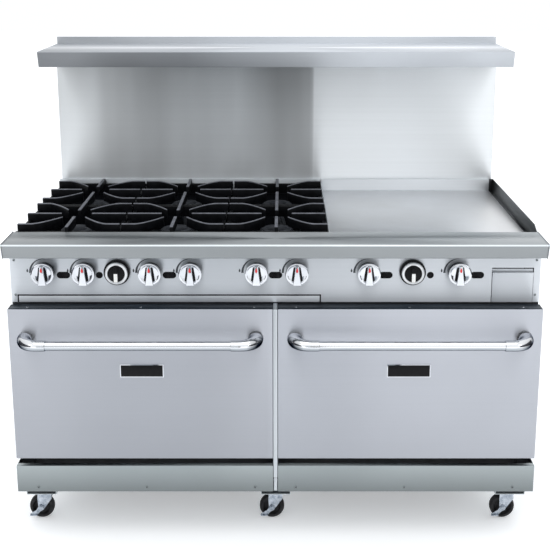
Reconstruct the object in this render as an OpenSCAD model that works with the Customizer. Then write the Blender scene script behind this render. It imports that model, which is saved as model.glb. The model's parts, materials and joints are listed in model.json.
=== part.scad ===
// Commercial gas range: six open burners, a griddle, two ovens, a backguard and a high shelf.
// Millimetres, +Z up, front towards -Y, origin on the floor under the middle of the range.

/* [Overall] */
// Width over the side panels
range_w = 1524; // [1514:1:1534]
// Depth from the rail's nose to the rear panel
range_d = 850; // [846:1:860]
// Height of the front rail's top
rail_z = 915; // [913:1:920]
// Height of the high shelf's top
shelf_z = 1398; // [1250:1:1500]
// Thickness of the folded sheet
sheet = 1.5; // [1:0.1:1.8]

/* [Front] */
// Depth of the landing rail
rail_depth = 142; // [140:1:143]
// Height of the landing rail's lip
rail_lip = 43; // [36:1:44]
// Distance of the control panel behind the rail's nose
panel_back = 86; // [85:0.5:87]
// Height of the control panel's lower edge
panel_low = 720; // [719.9:0.1:720.5]
// Diameter of a gas knob
knob_d = 67; // [56:1:70]
// Diameter of a thermostat dial
dial_d = 75; // [66:1:78]

/* [Cooktop] */
// Width of one burner column
column_w = 305; // [304:0.5:305]
// Length of one grate, front to back
grate_l = 328; // [320:1:329]
// Height of the grate fingers' tops above the rail
grate_proud = 15; // [8:1:20]
// Depth of the griddle plate below the rail's top
griddle_sunk = 27; // [24:1:40]

/* [Ovens] */
// Inside width of an oven
oven_w = 673; // [640:1:674]
// Inside height of an oven
oven_h = 360; // [320:1:361]
// Inside depth of an oven
oven_l = 660; // [560:1:670]
// Height of a door
door_h = 462; // [455:1:462]
// Gap between the two doors
door_gap = 14; // [13:1:18]
// How far a rack stands inside the oven's mouth
rack_back = 30; // [28:1:60]

/* [Casters] */
// Diameter of a wheel
wheel_d = 76; // [70:1:76]
// Height from the floor to the caster rails
caster_h = 101; // [101:1:110]
// Distance of a wheel's axle behind its swivel axis
caster_trail = 12; // [8:1:12]

/* [Hidden] */
$fn = 48;

// Small spaces
weld = 0.2;      // between welded frame members, so that each stays a solid of its own
run_fit = 0.05;  // radial clearance of a running fit
cut = 1;         // how far a cutter runs past what it cuts

// Colours
steel = [0.72, 0.74, 0.77];
dark_steel = [0.45, 0.47, 0.5];
iron = [0.1, 0.1, 0.11];
chrome = [0.82, 0.83, 0.85];
black = [0.06, 0.06, 0.07];
zinc = [0.62, 0.63, 0.65];
brass = [0.72, 0.6, 0.3];

// Widths and heights worked out from the driving sizes
half_w = range_w / 2;
inner_w = half_w - sheet - weld;
body_back = range_d;
guard_back = 812;                       // front of the backguard
guard_half = half_w - 7;
guard_low = rail_z - 10;
shelf_half = half_w - 4;
shelf_front = 539;
shelf_lip = 50;
shelf_taper = 14;
shelf_flange = 24;
rail_taper = 12;
base_z = 151;                           // underside of the sills
sill = 40;                              // size of the sill tubes
tube_wall = 2;

// Cooktop
box_front = rail_depth + 2;
box_back = 806;
box_wall = 2;
ledge_z = rail_z - 35;                  // where the grates rest
ledge_w = 14;
grate_w = column_w - 5;
columns = [for (i = [0:2]) -half_w + 2 + column_w * (i + 0.5)];
burner_end = -half_w + 2 + column_w * 3; // right-hand end of the burners
grate_back = [box_front + grate_l / 2, box_back - 2 - grate_l / 2];
burner_bar = 128;                       // outer fingers' distance from the burner's centre
finger_w = 10;                          // width of a grate finger
finger_tip = [44, 55];                  // tip of a curved finger, from the burner's centre
finger_bend = 66;                       // length over which a finger curves in
cross_tip = [46, 40];                   // ends of the straight fingers, from the burner's centre
mixer_r = 14;                           // outside of a burner's mixing tube
mixer_bore = 11;
finger_top = rail_z + grate_proud;
head_z = rail_z - 33;                   // top of a burner head
splash_z = rail_z + 13;
griddle_low = rail_z - 80;               // underside of the grease trough

// Control panel
knob_z = 812;
slot_z = 801;
knob_pair = 58;                         // knob to column centre
knob_shift = 2;                         // knobs' pair centre to column centre
burner_knobs = [for (c = columns, s = [-1, 1]) c + knob_shift + s * knob_pair];
griddle_knobs = [268, 527];
knob_xs = concat(burner_knobs, griddle_knobs);
dial_xs = [-454, 394];
slot_xs = concat([for (c = columns) c - knob_shift], [318, 581]);
port_xs = [-506, 446];                  // oven lighting holes
slot_size = [39, 20];
port_r = 10;
stem_r = 4;
tray_x = [-741, 128];
tray_top = panel_low + 19;
drawer_x = [624, 742];
drawer_top = 822;

// Ovens and doors
oven_low = 290;
oven_xs = [-(half_w + door_gap / 2) / 2, (half_w + door_gap / 2) / 2];
door_w = half_w - door_gap / 2;
door_front = 29;
door_t = 46;
door_low = 255;
door_top = door_low + door_h;
frame_front = 85;                       // face that the doors close against
hinge_back = 50;
hinge_z = door_low + 20;
hinge_pin_r = 5;
hinge_arm_t = 5;
hinge_inset = 27;                       // hinge arm from the door's edge
kick_front = 24;
kick_top = 234;

// Handles
handle_z = 631;
bar_r = 13;
sleeve_r = 15;
handle_reach = 49;                      // handle's front, ahead of the rail's nose
bar_back = sleeve_r - handle_reach;     // bar's axis, measured from the rail's nose
bar_half = 260;
sleeve_l = 21;
elbow_r = 48;                           // bend radius of the end elbows
foot_r = 21;

// Gas pipes
manifold_d = 122;
manifold_z = 784;
pipe_r = 13.35;
pipe_bend = 30;
collar_r = 17;                           // collar that the inlet seats against
inlet_reach = 49;                       // inlet's free end, behind the body
riser_x = 600;                          // pipe that runs back to the inlet

// Casters
caster_xs = [-(half_w - wheel_d / 2 - caster_trail - 1), 0, half_w - wheel_d / 2 - caster_trail - 1];
caster_front = 148;
caster_rear = 740;
wheel_r = wheel_d / 2;
wheel_half = 13;
axle_r = 4;
fork_gap = wheel_half + 1.5;            // inner face of a fork leg
fork_t = 2.5;
crown_z = wheel_d + 8;
kingpin_r = 5;

// Y of a plane that lies d behind the rail's nose
function dp(d) = d - range_d / 2;
// A span moved in at both ends
function inset(span, by) = [span[0] + by, span[1] - by];
// A span centred on a value
function about(centre, half) = [centre - half, centre + half];
// A span on the left or the right of the middle plane
function sided(side, span) = side > 0 ? span : [-span[1], -span[0]];

// Box from three spans: x, distance behind the rail's nose, and height
module slab(x, d, z) {
    translate([x[0], dp(d[0]), z[0]])
        cube([x[1] - x[0], d[1] - d[0], z[1] - z[0]]);
}

// Rectangular steel tube that fills a slab and is open along one axis: 0, 1 or 2
module box_tube(x, d, z, along) {
    difference() {
        slab(x, d, z);
        slab(inset(x, along == 0 ? -cut : tube_wall),
             inset(d, along == 1 ? -cut : tube_wall),
             inset(z, along == 2 ? -cut : tube_wall));
    }
}

// Outline in (distance behind the nose, height), extruded along X
module across(x) {
    translate([x[0], dp(0), 0])
        rotate([90, 0, 90])
            linear_extrude(x[1] - x[0]) children();
}

// Outline in (x, height), extruded along the depth
module inward(d) {
    translate([0, dp(d[1]), 0])
        rotate([90, 0, 0])
            linear_extrude(d[1] - d[0]) children();
}

// Places children with their +Z pointing out of the front, at x, depth and height
module facing(x, d, z) {
    translate([x, dp(d), z])
        rotate([90, 0, 0]) children();
}

// Round bar along X
module bar_x(x, d, z, r) {
    translate([x[0], dp(d), z])
        rotate([0, 90, 0]) cylinder(r = r, h = x[1] - x[0]);
}

// Round bar along the depth
module bar_y(x, d, z, r) {
    facing(x, d[1], z) cylinder(r = r, h = d[1] - d[0]);
}

// ---------------------------------------------------------------- frame and casings

module hinge_arm(x) {
    across(about(x, hinge_arm_t / 2)) {
        translate([hinge_back, hinge_z]) circle(r = 9);
        translate([hinge_back, hinge_z - 9]) square([frame_front - weld - hinge_back, 18]);
    }
    bar_x(about(x, 8), hinge_back, hinge_z, hinge_pin_r);
}

module chassis_frame() {
    post_w = inner_w - (oven_xs[1] + oven_w / 2 + 3);
    mid_half = oven_xs[1] - oven_w / 2 - 4;
    rear_tube = [798, 838];
    color(dark_steel) {
        for (x = caster_xs)
            box_tube(about(x, 45), [97, 838], [caster_h, base_z - weld], 1);
        for (s = [-1, 1]) {
            box_tube(sided(s, [inner_w - sill, inner_w]), [97, 838], [base_z, base_z + sill], 1);
            for (d = [[97, 97 + sill], rear_tube])
                box_tube(sided(s, [sill / 2 + weld, inner_w - sill - weld]), d, [base_z, base_z + sill], 0);
            box_tube(sided(s, [inner_w - post_w, inner_w]), [frame_front, 123],
                     [base_z + sill + weld, panel_low - weld], 2);
            box_tube(sided(s, [inner_w - sill, inner_w]), rear_tube,
                     [base_z + sill + weld, panel_low - weld], 2);
            box_tube(sided(s, [inner_w - 20, inner_w]), [123 + weld, 798 - weld],
                     [690, panel_low - weld], 1);
            box_tube(sided(s, [mid_half + weld, inner_w - post_w - weld]), [98, 120],
                     [base_z + sill + weld, oven_low - 4], 0);
            box_tube(sided(s, [mid_half + weld, inner_w - post_w - weld]), [frame_front, 123],
                     [oven_low + oven_h + 4, panel_low - weld], 0);
            for (x = [door_gap / 2 + hinge_inset, half_w - hinge_inset])
                hinge_arm(s * x);
        }
        box_tube(about(0, sill / 2), [97, 838], [base_z, base_z + sill], 1);
        box_tube(about(0, mid_half), [frame_front, 123], [base_z + sill + weld, panel_low - weld], 2);
        for (x = [-700, 90])
            slab([x, x + 20], [90, 700], [panel_low - weld + 0.1, panel_low + 1.4]);
    }
    // centre divider between the doors, and the bracket under it
    color(steel) {
        box_tube(about(0, door_gap / 2 - 1), [26, frame_front - weld], [195, door_top], 2);
        slab(about(0, door_gap / 2 - 2), [30, 97 - weld], [base_z, 195 - weld]);
    }
}

module side_panel(side) {
    x = sided(side, [half_w - sheet, half_w]);
    flange = sided(side, [half_w - 11.5, half_w - sheet - weld]);
    color(steel) {
        across(x)
            polygon([[panel_back + 2, base_z], [body_back - 4, base_z], [body_back - 4, guard_low - 1],
                     [box_back + 4, guard_low - 1], [box_back + 4, ledge_z], [rail_depth + 1, ledge_z],
                     [rail_depth + 1, rail_z - rail_lip - 1], [panel_back + 2, rail_z - rail_lip - 1]]);
        slab(flange, [box_front + 2, box_back - 2], [ledge_z - 1.5, ledge_z]);
    }
}
module side_panel_left() side_panel(-1);
module side_panel_right() side_panel(1);

module rear_panel() {
    color(dark_steel)
        difference() {
            slab(about(0, inner_w), [body_back - 3, body_back - 3 + sheet], [base_z, guard_low - 1]);
            bar_y(riser_x, [body_back - 10, body_back + 10], manifold_z, collar_r + 1);
            for (i = [-6:6], z = [300, 420])
                slab(about(i * 100, 30), [body_back - 6, body_back], about(z, 4));
        }
}

module front_rail() {
    low = rail_z - rail_lip;
    t = 2;
    color(steel) {
        across(about(0, half_w)) {
            translate([0, rail_z - t]) square([rail_depth, t]);
            polygon([[0, rail_z], [0, rail_z - t], [rail_taper, low], [rail_taper + t, low], [t, rail_z]]);
            translate([rail_taper, low]) square([panel_back + 20 - rail_taper, t]);
            translate([rail_depth - t, ledge_z + 2]) square([t, rail_z - ledge_z - 2]);
        }
        for (s = [-1, 1])
            across(sided(s, [half_w - t, half_w]))
                polygon([[0, rail_z], [rail_taper, low], [panel_back + 20, low], [rail_depth, ledge_z + 2],
                         [rail_depth, rail_z]]);
    }
}

module slot_2d(size) {
    square([size[0] - size[1], size[1]], center = true);
    for (s = [-1, 1])
        translate([s * (size[0] - size[1]) / 2, 0]) circle(d = size[1]);
}

module control_panel() {
    top = rail_z - rail_lip - weld;
    clear = 1.2;
    color(steel) {
        inward([panel_back, panel_back + sheet])
            difference() {
                translate([-half_w, panel_low]) square([range_w, top - panel_low]);
                for (x = knob_xs) translate([x, knob_z]) circle(r = stem_r + 3);
                for (x = dial_xs) translate([x, knob_z]) circle(r = stem_r + 3);
                for (x = slot_xs) translate([x, slot_z]) slot_2d(slot_size);
                for (x = port_xs) translate([x, slot_z]) circle(r = port_r);
                translate([tray_x[0] - clear, panel_low - cut])
                    square([tray_x[1] - tray_x[0] + 2 * clear, tray_top + clear - panel_low + cut]);
                translate([drawer_x[0] - clear, panel_low - cut])
                    square([drawer_x[1] - drawer_x[0] + 2 * clear, drawer_top + clear - panel_low + cut]);
            }
        slab(about(0, inner_w - 2), [panel_back + sheet + weld, panel_back + 18], [top - sheet, top]);
    }
}

module kick_panels() {
    back = kick_front + sheet + weld;
    color(steel)
        for (s = [-1, 1]) {
            x = sided(s, [door_gap / 2, half_w]);
            slab(x, [kick_front, kick_front + sheet], [base_z, kick_top]);
            for (z = [base_z, kick_top - sheet])
                slab(inset(x, sheet + weld), [back, kick_front + 18], [z, z + sheet]);
            slab(sided(s, [half_w - sheet, half_w]), [back, panel_back + 1], [base_z, kick_top]);
            slab(sided(s, [door_gap / 2, door_gap / 2 + sheet]), [back, frame_front - weld],
                 [base_z, kick_top]);
        }
}

module backguard() {
    top = shelf_z - sheet - weld;
    color(steel)
        difference() {
            slab(about(0, guard_half), [guard_back, body_back], [guard_low, top]);
            slab(about(0, guard_half - sheet), [guard_back + sheet, body_back - sheet],
                 [guard_low - cut, top - sheet]);
            for (i = [-6:6], z = [1310, 1340, 1370])
                slab(about(i * 105, 38), [body_back - 5, body_back + 5], about(z, 6));
        }
}

module high_shelf() {
    low = shelf_z - shelf_lip;
    under = shelf_z - sheet - weld;
    color(steel) {
        slab(about(0, shelf_half), [shelf_front, body_back - sheet - weld], [shelf_z - sheet, shelf_z]);
        across(about(0, shelf_half))
            polygon([[shelf_front, under], [shelf_front + shelf_taper, low],
                     [shelf_front + shelf_taper + sheet, low], [shelf_front + sheet, under]]);
        slab(about(0, shelf_half), [shelf_front + shelf_taper + sheet + weld, shelf_front + shelf_taper + 12],
             [low, low + sheet]);
        slab(about(0, shelf_half), [body_back - sheet, body_back], [shelf_z - sheet, shelf_z + shelf_flange]);
        for (s = [-1, 1]) {
            across(sided(s, [shelf_half - sheet, shelf_half]))
                polygon([[shelf_front + sheet + weld, under],
                         [shelf_front + shelf_taper + sheet + weld, low + 2],
                         [guard_back - 1, low + 2], [guard_back - 1, under]]);
            box_tube(sided(s, [360, 400]), [shelf_front + shelf_taper + 14, guard_back - 1],
                     [low + 8, under], 1);
        }
    }
}

// ---------------------------------------------------------------- cooktop

module burner_box() {
    low = panel_low + 24;
    mid = griddle_low - weld;
    right = half_w - 4;
    front = [box_front, box_front + box_wall];
    wall_x = [for (i = [1:2]) -half_w + 2 + column_w * i];
    lodge = grate_w / 2 - 8;
    color(dark_steel) {
        difference() {
            slab([-right + weld, drawer_x[0] - 4], front, [low, mid]);
            for (x = knob_xs) bar_y(x, inset(front, -cut), knob_z, mixer_r + 3);
            bar_y(riser_x, inset(front, -cut), manifold_z, pipe_r + 2);
        }
        slab([drawer_x[0] - 4 + weld, right - weld], front, [drawer_top, mid]);
        slab([-right + weld, burner_end - 3], front, [mid + weld, ledge_z - 2 - weld]);
        for (span = [[-right + weld, riser_x - 20], [riser_x + 20, right - weld]])
            slab(span, [box_back, box_back + box_wall], [low, ledge_z - weld]);
        slab([riser_x - 20 + weld, riser_x + 20 - weld], [box_back, box_back + box_wall],
             [knob_z, ledge_z - weld]);
        for (s = [-1, 1])
            slab(sided(s, [right, right + 1.8]), [box_front, box_back + box_wall], [panel_low, ledge_z - 10]);
        for (x = concat(wall_x, [burner_end - 1.5]))
            slab(about(x, 1), [front[1] + weld, box_back - weld], [low, ledge_z - 8]);
        // ledges that carry the grates
        for (c = columns, d = [[box_front, box_front + ledge_w], [box_back - ledge_w, box_back - weld],
                               about((box_front + box_back) / 2 - 1, ledge_w / 2)])
            slab(about(c, lodge), d, [ledge_z - 2, ledge_z]);
    }
    // rear upstand behind the grates
    color(steel) {
        slab([-half_w, burner_end - 2], [box_back, box_back + box_wall], [ledge_z, splash_z]);
        slab([-half_w, burner_end - 2], [box_back + box_wall + weld, guard_back - weld],
             [splash_z - box_wall, splash_z]);
    }
}

module griddle() {
    top = rail_z - griddle_sunk;
    thick = 19;
    wall = 3;
    x = [burner_end, half_w];
    inner = x[1] - 12;
    trough = [rail_depth + 5, 226];
    rear = box_back - wall;
    chute_x = [655, 720];
    chute_d = [160, 214];
    color(steel) {
        slab([x[0] + wall + weld, inner - wall - weld], [trough[1], rear - weld], [top - thick, top]);
        slab(x, [rear, box_back - weld], [ledge_z + weld, splash_z]);
        slab([x[0], inner], [rear, box_back - weld], [top - thick, ledge_z]);
        slab(x, [box_back, guard_back - weld], [splash_z - wall, splash_z]);
        slab([x[0], x[0] + wall], [trough[0], rear - weld], [griddle_low, rail_z - 1]);
        across([x[1] - wall, x[1]])
            polygon([[trough[0], ledge_z + weld], [trough[0], rail_z - 2], [rail_depth + 42, splash_z],
                     [rear - weld, splash_z], [rear - weld, ledge_z + weld]]);
        slab([inner - wall, inner], [trough[0], rear - weld], [griddle_low, ledge_z + 3]);
        slab([inner + weld, x[1] - wall - weld], [trough[0], rear - weld], [ledge_z + weld, ledge_z + 3]);
        slab([x[0] + wall + weld, inner - wall - weld], [trough[0], trough[0] + wall],
             [griddle_low + wall + weld, top]);
        slab([x[0] + wall + weld, inner - wall - weld], [trough[1] - weld - wall, trough[1] - weld],
             [griddle_low + wall + weld, top - thick]);
        // trough floor round the mouth of the chute, and the chute below it
        for (span = [[x[0] + wall + weld, chute_x[0] - weld], [chute_x[1] + weld, inner - wall - weld]])
            slab(span, trough, [griddle_low, griddle_low + wall]);
        for (d = [[trough[0], chute_d[0]], [chute_d[1], trough[1]]])
            slab(chute_x, d, [griddle_low, griddle_low + wall]);
        for (xs = [[chute_x[0] - 2, chute_x[0]], [chute_x[1], chute_x[1] + 2]])
            slab(xs, chute_d, [drawer_top - 14, griddle_low - weld]);
        for (d = [[chute_d[0] - 2, chute_d[0] - weld], [chute_d[1] + weld, chute_d[1] + 2]])
            slab(chute_x, d, [drawer_top - 14, griddle_low - weld]);
    }
}

module burner_head(x, d, valve_x) {
    mouth = box_front + box_wall + 4;
    run = d - mouth;
    rise = head_z - 34 - knob_z;
    reach = norm([x - valve_x, run, rise]);
    difference() {
        union() {
            translate([x, dp(d), 0])
                rotate_extrude()
                    polygon([[24, head_z - 24], [44, head_z - 24], [52, head_z - 12], [50, head_z - 3],
                             [44, head_z], [33, head_z], [27, head_z - 5], [24, head_z - 14]]);
            translate([x, dp(d), head_z - 46]) cylinder(r = 24.5, h = 34);
            translate([valve_x, dp(mouth), knob_z])
                rotate([-atan2(sqrt(pow(x - valve_x, 2) + run * run), rise), 0, -atan2(x - valve_x, run)])
                    cylinder(r = mixer_r, h = reach);
        }
        translate([x, dp(d), head_z - 20]) cylinder(r = 20, h = 40);
        translate([valve_x, dp(mouth), knob_z])
            rotate([-atan2(sqrt(pow(x - valve_x, 2) + run * run), rise), 0, -atan2(x - valve_x, run)])
                translate([0, 0, -cut]) cylinder(r = mixer_bore, h = reach * 0.8);
    }
}

module top_burners() {
    color(iron)
        for (c = columns) {
            burner_head(c, grate_back[0], c - knob_pair);
            burner_head(c, grate_back[1], c + knob_pair);
        }
}

module tube_burners() {
    color(dark_steel) {
        for (x = griddle_knobs)
            difference() {
                bar_y(x, [box_front + 10, 780], knob_z, 16);
                bar_y(x, [box_front + 5, 770], knob_z, 14);
            }
        for (x = oven_xs)
            difference() {
                bar_y(x, [126, 720], oven_low - 40, 18);
                bar_y(x, [120, 710], oven_low - 40, 16);
            }
    }
}

// One side's curved finger as a closed outline: flat at the grate's edge, then in to the burner
function finger_y(x) = let (u = min(1, (x - finger_tip[0]) / finger_bend))
    finger_tip[1] + (burner_bar - finger_tip[1]) * (1 - pow(1 - u, 1.7));
function finger_line(half) = [for (i = [0:8]) let (x = finger_tip[0] + finger_bend * i / 8)
    [x, finger_y(x) + half]];

module finger_2d() {
    edge = grate_w / 2;
    inner = finger_line(-finger_w / 2);
    outer = finger_line(finger_w / 2);
    polygon(concat(inner, [[edge, burner_bar - finger_w / 2], [edge, burner_bar + finger_w / 2]],
                   [for (i = [len(outer) - 1:-1:0]) outer[i]]));
}

module grate(x, d) {
    bar = 12;
    half = grate_l / 2;
    side_top = ledge_z + 28;
    end_top = ledge_z + 34;
    color(iron)
        translate([x, dp(d), 0]) {
            translate([0, 0, side_top - 8])
                linear_extrude(finger_top - side_top + 8) {
                    for (sx = [0, 1], sy = [0, 1])
                        mirror([sx, 0]) mirror([0, sy]) finger_2d();
                    for (s = [0, 1]) {
                        mirror([s, 0]) translate([cross_tip[0], -finger_w / 2])
                            square([grate_w / 2 - cross_tip[0], finger_w]);
                        mirror([0, s]) translate([-finger_w / 2, cross_tip[1]])
                            square([finger_w, half - cross_tip[1]]);
                    }
                }
            for (s = [-1, 1]) {
                translate([-grate_w / 2, s * (half - bar / 2) - bar / 2, ledge_z])
                    cube([grate_w, bar, end_top - ledge_z]);
                translate([s * (grate_w / 2 - bar / 2) - bar / 2, -half, ledge_z])
                    cube([bar, grate_l, side_top - ledge_z]);
            }
        }
}
module grate_front_1() grate(columns[0], grate_back[0]);
module grate_front_2() grate(columns[1], grate_back[0]);
module grate_front_3() grate(columns[2], grate_back[0]);
module grate_rear_1() grate(columns[0], grate_back[1]);
module grate_rear_2() grate(columns[1], grate_back[1]);
module grate_rear_3() grate(columns[2], grate_back[1]);

// ---------------------------------------------------------------- gas train

module gas_manifold() {
    color(dark_steel) {
        bar_x([-735, riser_x - pipe_bend - weld], manifold_d, manifold_z, pipe_r);
        translate([riser_x - pipe_bend, dp(manifold_d + pipe_bend), manifold_z])
            rotate([0, 0, -90]) rotate_extrude(angle = 90) translate([pipe_bend, 0]) circle(r = pipe_r);
        bar_y(riser_x, [manifold_d + pipe_bend + weld, 838], manifold_z, pipe_r);
    }
}

module gas_valves() {
    seat = 98;
    color(brass) {
        for (x = knob_xs)
            difference() {
                union() {
                    slab(about(x, 11), [seat, 134], [manifold_z + pipe_r + 0.1, knob_z + 12]);
                    bar_y(x, [134, 147], knob_z, 6);
                }
                bar_y(x, [seat - cut, seat + 20], knob_z, stem_r + run_fit);
            }
        for (x = dial_xs)
            difference() {
                slab(about(x, 26), [seat, 134], [manifold_z + pipe_r + 0.1, knob_z + 26]);
                bar_y(x, [seat - cut, seat + 20], knob_z, stem_r + run_fit);
            }
    }
}

module gas_inlet() {
    color(dark_steel)
        difference() {
            union() {
                bar_y(riser_x, [838 + weld, body_back], manifold_z, collar_r);
                bar_y(riser_x, [body_back - cut, body_back + inlet_reach], manifold_z, pipe_r);
            }
            bar_y(riser_x, [838, body_back + inlet_reach + cut], manifold_z, pipe_r - 3);
        }
}

// Knob built along +Z, which faces out of the front; z is measured from the panel's face
module gas_knob(x) {
    r = knob_d / 2;
    color(chrome)
        facing(x, panel_back, knob_z) {
            rotate_extrude()
                polygon([[0, 2], [r - 5, 2], [r - 4, 4], [r - 1, 22], [r, 28], [r - 1, 31], [r - 6, 33],
                         [0, 35]]);
            translate([0, 0, 30])
                linear_extrude(12)
                    polygon([[-8, -r - 1], [8, -r - 1], [4.5, r - 7], [-4.5, r - 7]]);
            translate([0, 0, -30]) cylinder(r = stem_r, h = 33);
        }
}
module gas_knob_1() gas_knob(knob_xs[0]);
module gas_knob_2() gas_knob(knob_xs[1]);
module gas_knob_3() gas_knob(knob_xs[2]);
module gas_knob_4() gas_knob(knob_xs[3]);
module gas_knob_5() gas_knob(knob_xs[4]);
module gas_knob_6() gas_knob(knob_xs[5]);
module gas_knob_7() gas_knob(knob_xs[6]);
module gas_knob_8() gas_knob(knob_xs[7]);

module oven_dial(x) {
    r = dial_d / 2;
    color(black)
        facing(x, panel_back, knob_z) {
            rotate_extrude()
                polygon([[0, 2], [r, 2], [r, 20], [r - 3, 24], [r - 10, 26], [r - 12.5, 24], [0, 24]]);
            translate([-5, -24, 20]) cube([10, 34, 14]);
            translate([0, 0, -30]) cylinder(r = stem_r, h = 33);
        }
}
module oven_dial_left() oven_dial(dial_xs[0]);
module oven_dial_right() oven_dial(dial_xs[1]);

// ---------------------------------------------------------------- trays and drawers

// Open box of thin plates: floor, two long sides, front and back
module open_box(x, d, z) {
    slab(x, d, [z[0], z[0] + sheet]);
    for (xs = [[x[0], x[0] + sheet], [x[1] - sheet, x[1]]])
        slab(xs, d, [z[0] + sheet + weld, z[1]]);
    for (ds = [[d[0], d[0] + sheet], [d[1] - sheet, d[1]]])
        slab(inset(x, sheet + weld), ds, [z[0] + sheet + weld, z[1]]);
}

module crumb_tray() {
    color(steel) {
        slab(tray_x, [panel_back - 0.5, panel_back + 1], [panel_low, tray_top]);
        open_box(inset(tray_x, 14), [panel_back + 1 + weld, 700], [panel_low + 1.6, tray_top - 1]);
    }
}

module grease_drawer() {
    slope = 12;
    color(steel) {
        difference() {
            across(drawer_x)
                polygon([[panel_back - 2, panel_low], [panel_back + 1, panel_low],
                         [panel_back + 1, drawer_top - 3], [panel_back - 1, drawer_top - 3],
                         [panel_back - 4, drawer_top - 6],
                         [panel_back - 2, drawer_top - 6 - slope]]);
            bar_y(688, [70, 100], drawer_top - 27, 2.5);
        }
        open_box(inset(drawer_x, 10), [panel_back + 1 + weld, 480], [panel_low + 3, drawer_top - 20]);
    }
}

// ---------------------------------------------------------------- ovens

module oven_liner(x) {
    xs = about(x, oven_w / 2);
    zs = [oven_low, oven_low + oven_h];
    d = [frame_front + 1, frame_front + 1 + oven_l];
    flue = about(x, 100);
    color(dark_steel) {
        for (z = [[zs[0] - sheet, zs[0]], [zs[1], zs[1] + sheet]])
            slab(inset(xs, -sheet), d, z);
        for (side = [-1, 1])
            slab(about(x + side * (oven_w + sheet) / 2, sheet / 2), d, inset(zs, weld));
        slab(xs, [d[1] + weld, d[1] + sheet], [zs[0], zs[1] - 50]);
        for (span = [[xs[0], flue[0]], [flue[1], xs[1]]])
            slab(span, [d[1] + weld, d[1] + sheet], [zs[1] - 50 + weld, zs[1]]);
        for (s = [-1, 1], level = [90, 180, 270])
            slab(about(x + s * (oven_w / 2 - 5 - weld), 5), inset(d, 20),
                 [oven_low + level, oven_low + level + sheet]);
    }
}
module oven_liner_left() oven_liner(oven_xs[0]);
module oven_liner_right() oven_liner(oven_xs[1]);

module oven_rack(x) {
    rod = 3;
    wire = 2;
    half = oven_w / 2 - 5;
    front = frame_front + 1 + rack_back;
    back = frame_front + oven_l - 8;
    z = oven_low + 180 + sheet + rod + 0.1;
    wires = 13;
    color(chrome) {
        for (s = [-1, 1])
            bar_y(x + s * (half - rod), [front, back], z, rod);
        for (d = [front + rod, (front + back) / 2, back - rod])
            bar_x(about(x, half - rod), d, z, rod - 0.5);
        for (i = [1:wires])
            bar_y(x - half + rod + 2 * (half - rod) * i / (wires + 1), [front + 1, back - 1],
                  z + rod + wire - 1, wire);
    }
}
module oven_rack_left() oven_rack(oven_xs[0]);
module oven_rack_right() oven_rack(oven_xs[1]);

module hinge_slots(xs, d) {
    for (x = [xs[0] + hinge_inset, xs[1] - hinge_inset])
        slab(about(x, 4), d, [door_low - cut, hinge_z + 15]);
}

module door_skin(x) {
    xs = about(x, door_w / 2);
    d = [door_front, door_front + door_t - sheet - weld];
    z = [door_low, door_top];
    color(steel)
        difference() {
            union() {
                difference() {
                    slab(xs, d, z);
                    slab(inset(xs, sheet), [d[0] + sheet, d[1] + cut], inset(z, sheet));
                }
                for (e = [xs[0] + hinge_inset, xs[1] - hinge_inset], s = [-1, 1])
                    slab(about(e + s * 6, 1.5), [door_front + 1, hinge_back + 10],
                         [door_low + 1, hinge_z + 12]);
            }
            hinge_slots(xs, [hinge_back - 12, d[1] + cut]);
            bar_x(inset(xs, 5), hinge_back, hinge_z, hinge_pin_r + run_fit);
        }
}
module door_skin_left() door_skin(oven_xs[0]);
module door_skin_right() door_skin(oven_xs[1]);

module door_liner(x) {
    xs = about(x, door_w / 2);
    d = [door_front + door_t - sheet, door_front + door_t];
    rim_x = about(x, oven_w / 2 + 2);
    rim_z = [oven_low - 1, oven_low + oven_h + 3];
    color(dark_steel) {
        difference() {
            slab(inset(xs, 0.5), d, [door_low + 0.5, door_top - 0.5]);
            hinge_slots(xs, inset(d, -cut));
        }
        difference() {
            slab(rim_x, [d[1] - 0.5, frame_front - 1], rim_z);
            slab(inset(rim_x, 12), inset(d, -20), inset(rim_z, 12));
        }
    }
}
module door_liner_left() door_liner(oven_xs[0]);
module door_liner_right() door_liner(oven_xs[1]);

module handle_end(side) {
    turn = bar_half + sleeve_l;
    mirror([side > 0 ? 0 : 1, 0, 0]) {
        bar_x([bar_half + weld, turn - weld], bar_back, 0, sleeve_r);
        translate([turn, dp(bar_back + elbow_r), 0])
            rotate([0, 0, -90]) rotate_extrude(angle = 90) translate([elbow_r, 0]) circle(r = sleeve_r);
        bar_y(turn + elbow_r, [bar_back + elbow_r + weld, door_front], 0, foot_r);
    }
}

module handle(x) {
    color(chrome)
        translate([x, 0, handle_z]) {
            bar_x([-bar_half, bar_half], bar_back, 0, bar_r);
            for (s = [-1, 1]) handle_end(s);
        }
}
module handle_left() handle(oven_xs[0]);
module handle_right() handle(oven_xs[1]);

module nameplate(x) {
    color(black) slab(about(x, 63), [door_front - 2, door_front], [511, 551]);
}
module nameplate_left() nameplate(oven_xs[0]);
module nameplate_right() nameplate(oven_xs[1]);

// ---------------------------------------------------------------- casters

module wheel_shape() {
    rotate([90, 0, 0])
        rotate_extrude()
            polygon([[axle_r + run_fit, -wheel_half], [14, -wheel_half], [16, -wheel_half + 4],
                     [26, -wheel_half + 4], [28, -wheel_half + 1], [wheel_r - 3, -wheel_half + 1],
                     [wheel_r, -wheel_half + 5], [wheel_r, wheel_half - 5], [wheel_r - 3, wheel_half - 1],
                     [28, wheel_half - 1], [26, wheel_half - 4], [16, wheel_half - 4], [14, wheel_half],
                     [axle_r + run_fit, wheel_half]]);
}

// A fork leg as an outline: wide under the crown, narrow at the axle
module leg_2d(trail) {
    translate([-trail, wheel_r]) circle(r = 10);
    polygon([[-22, crown_z], [20, crown_z], [20, crown_z - 16], [-trail + 9, wheel_r - 4],
             [-trail - 9.5, wheel_r - 3], [-22, crown_z - 18]]);
}

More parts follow.
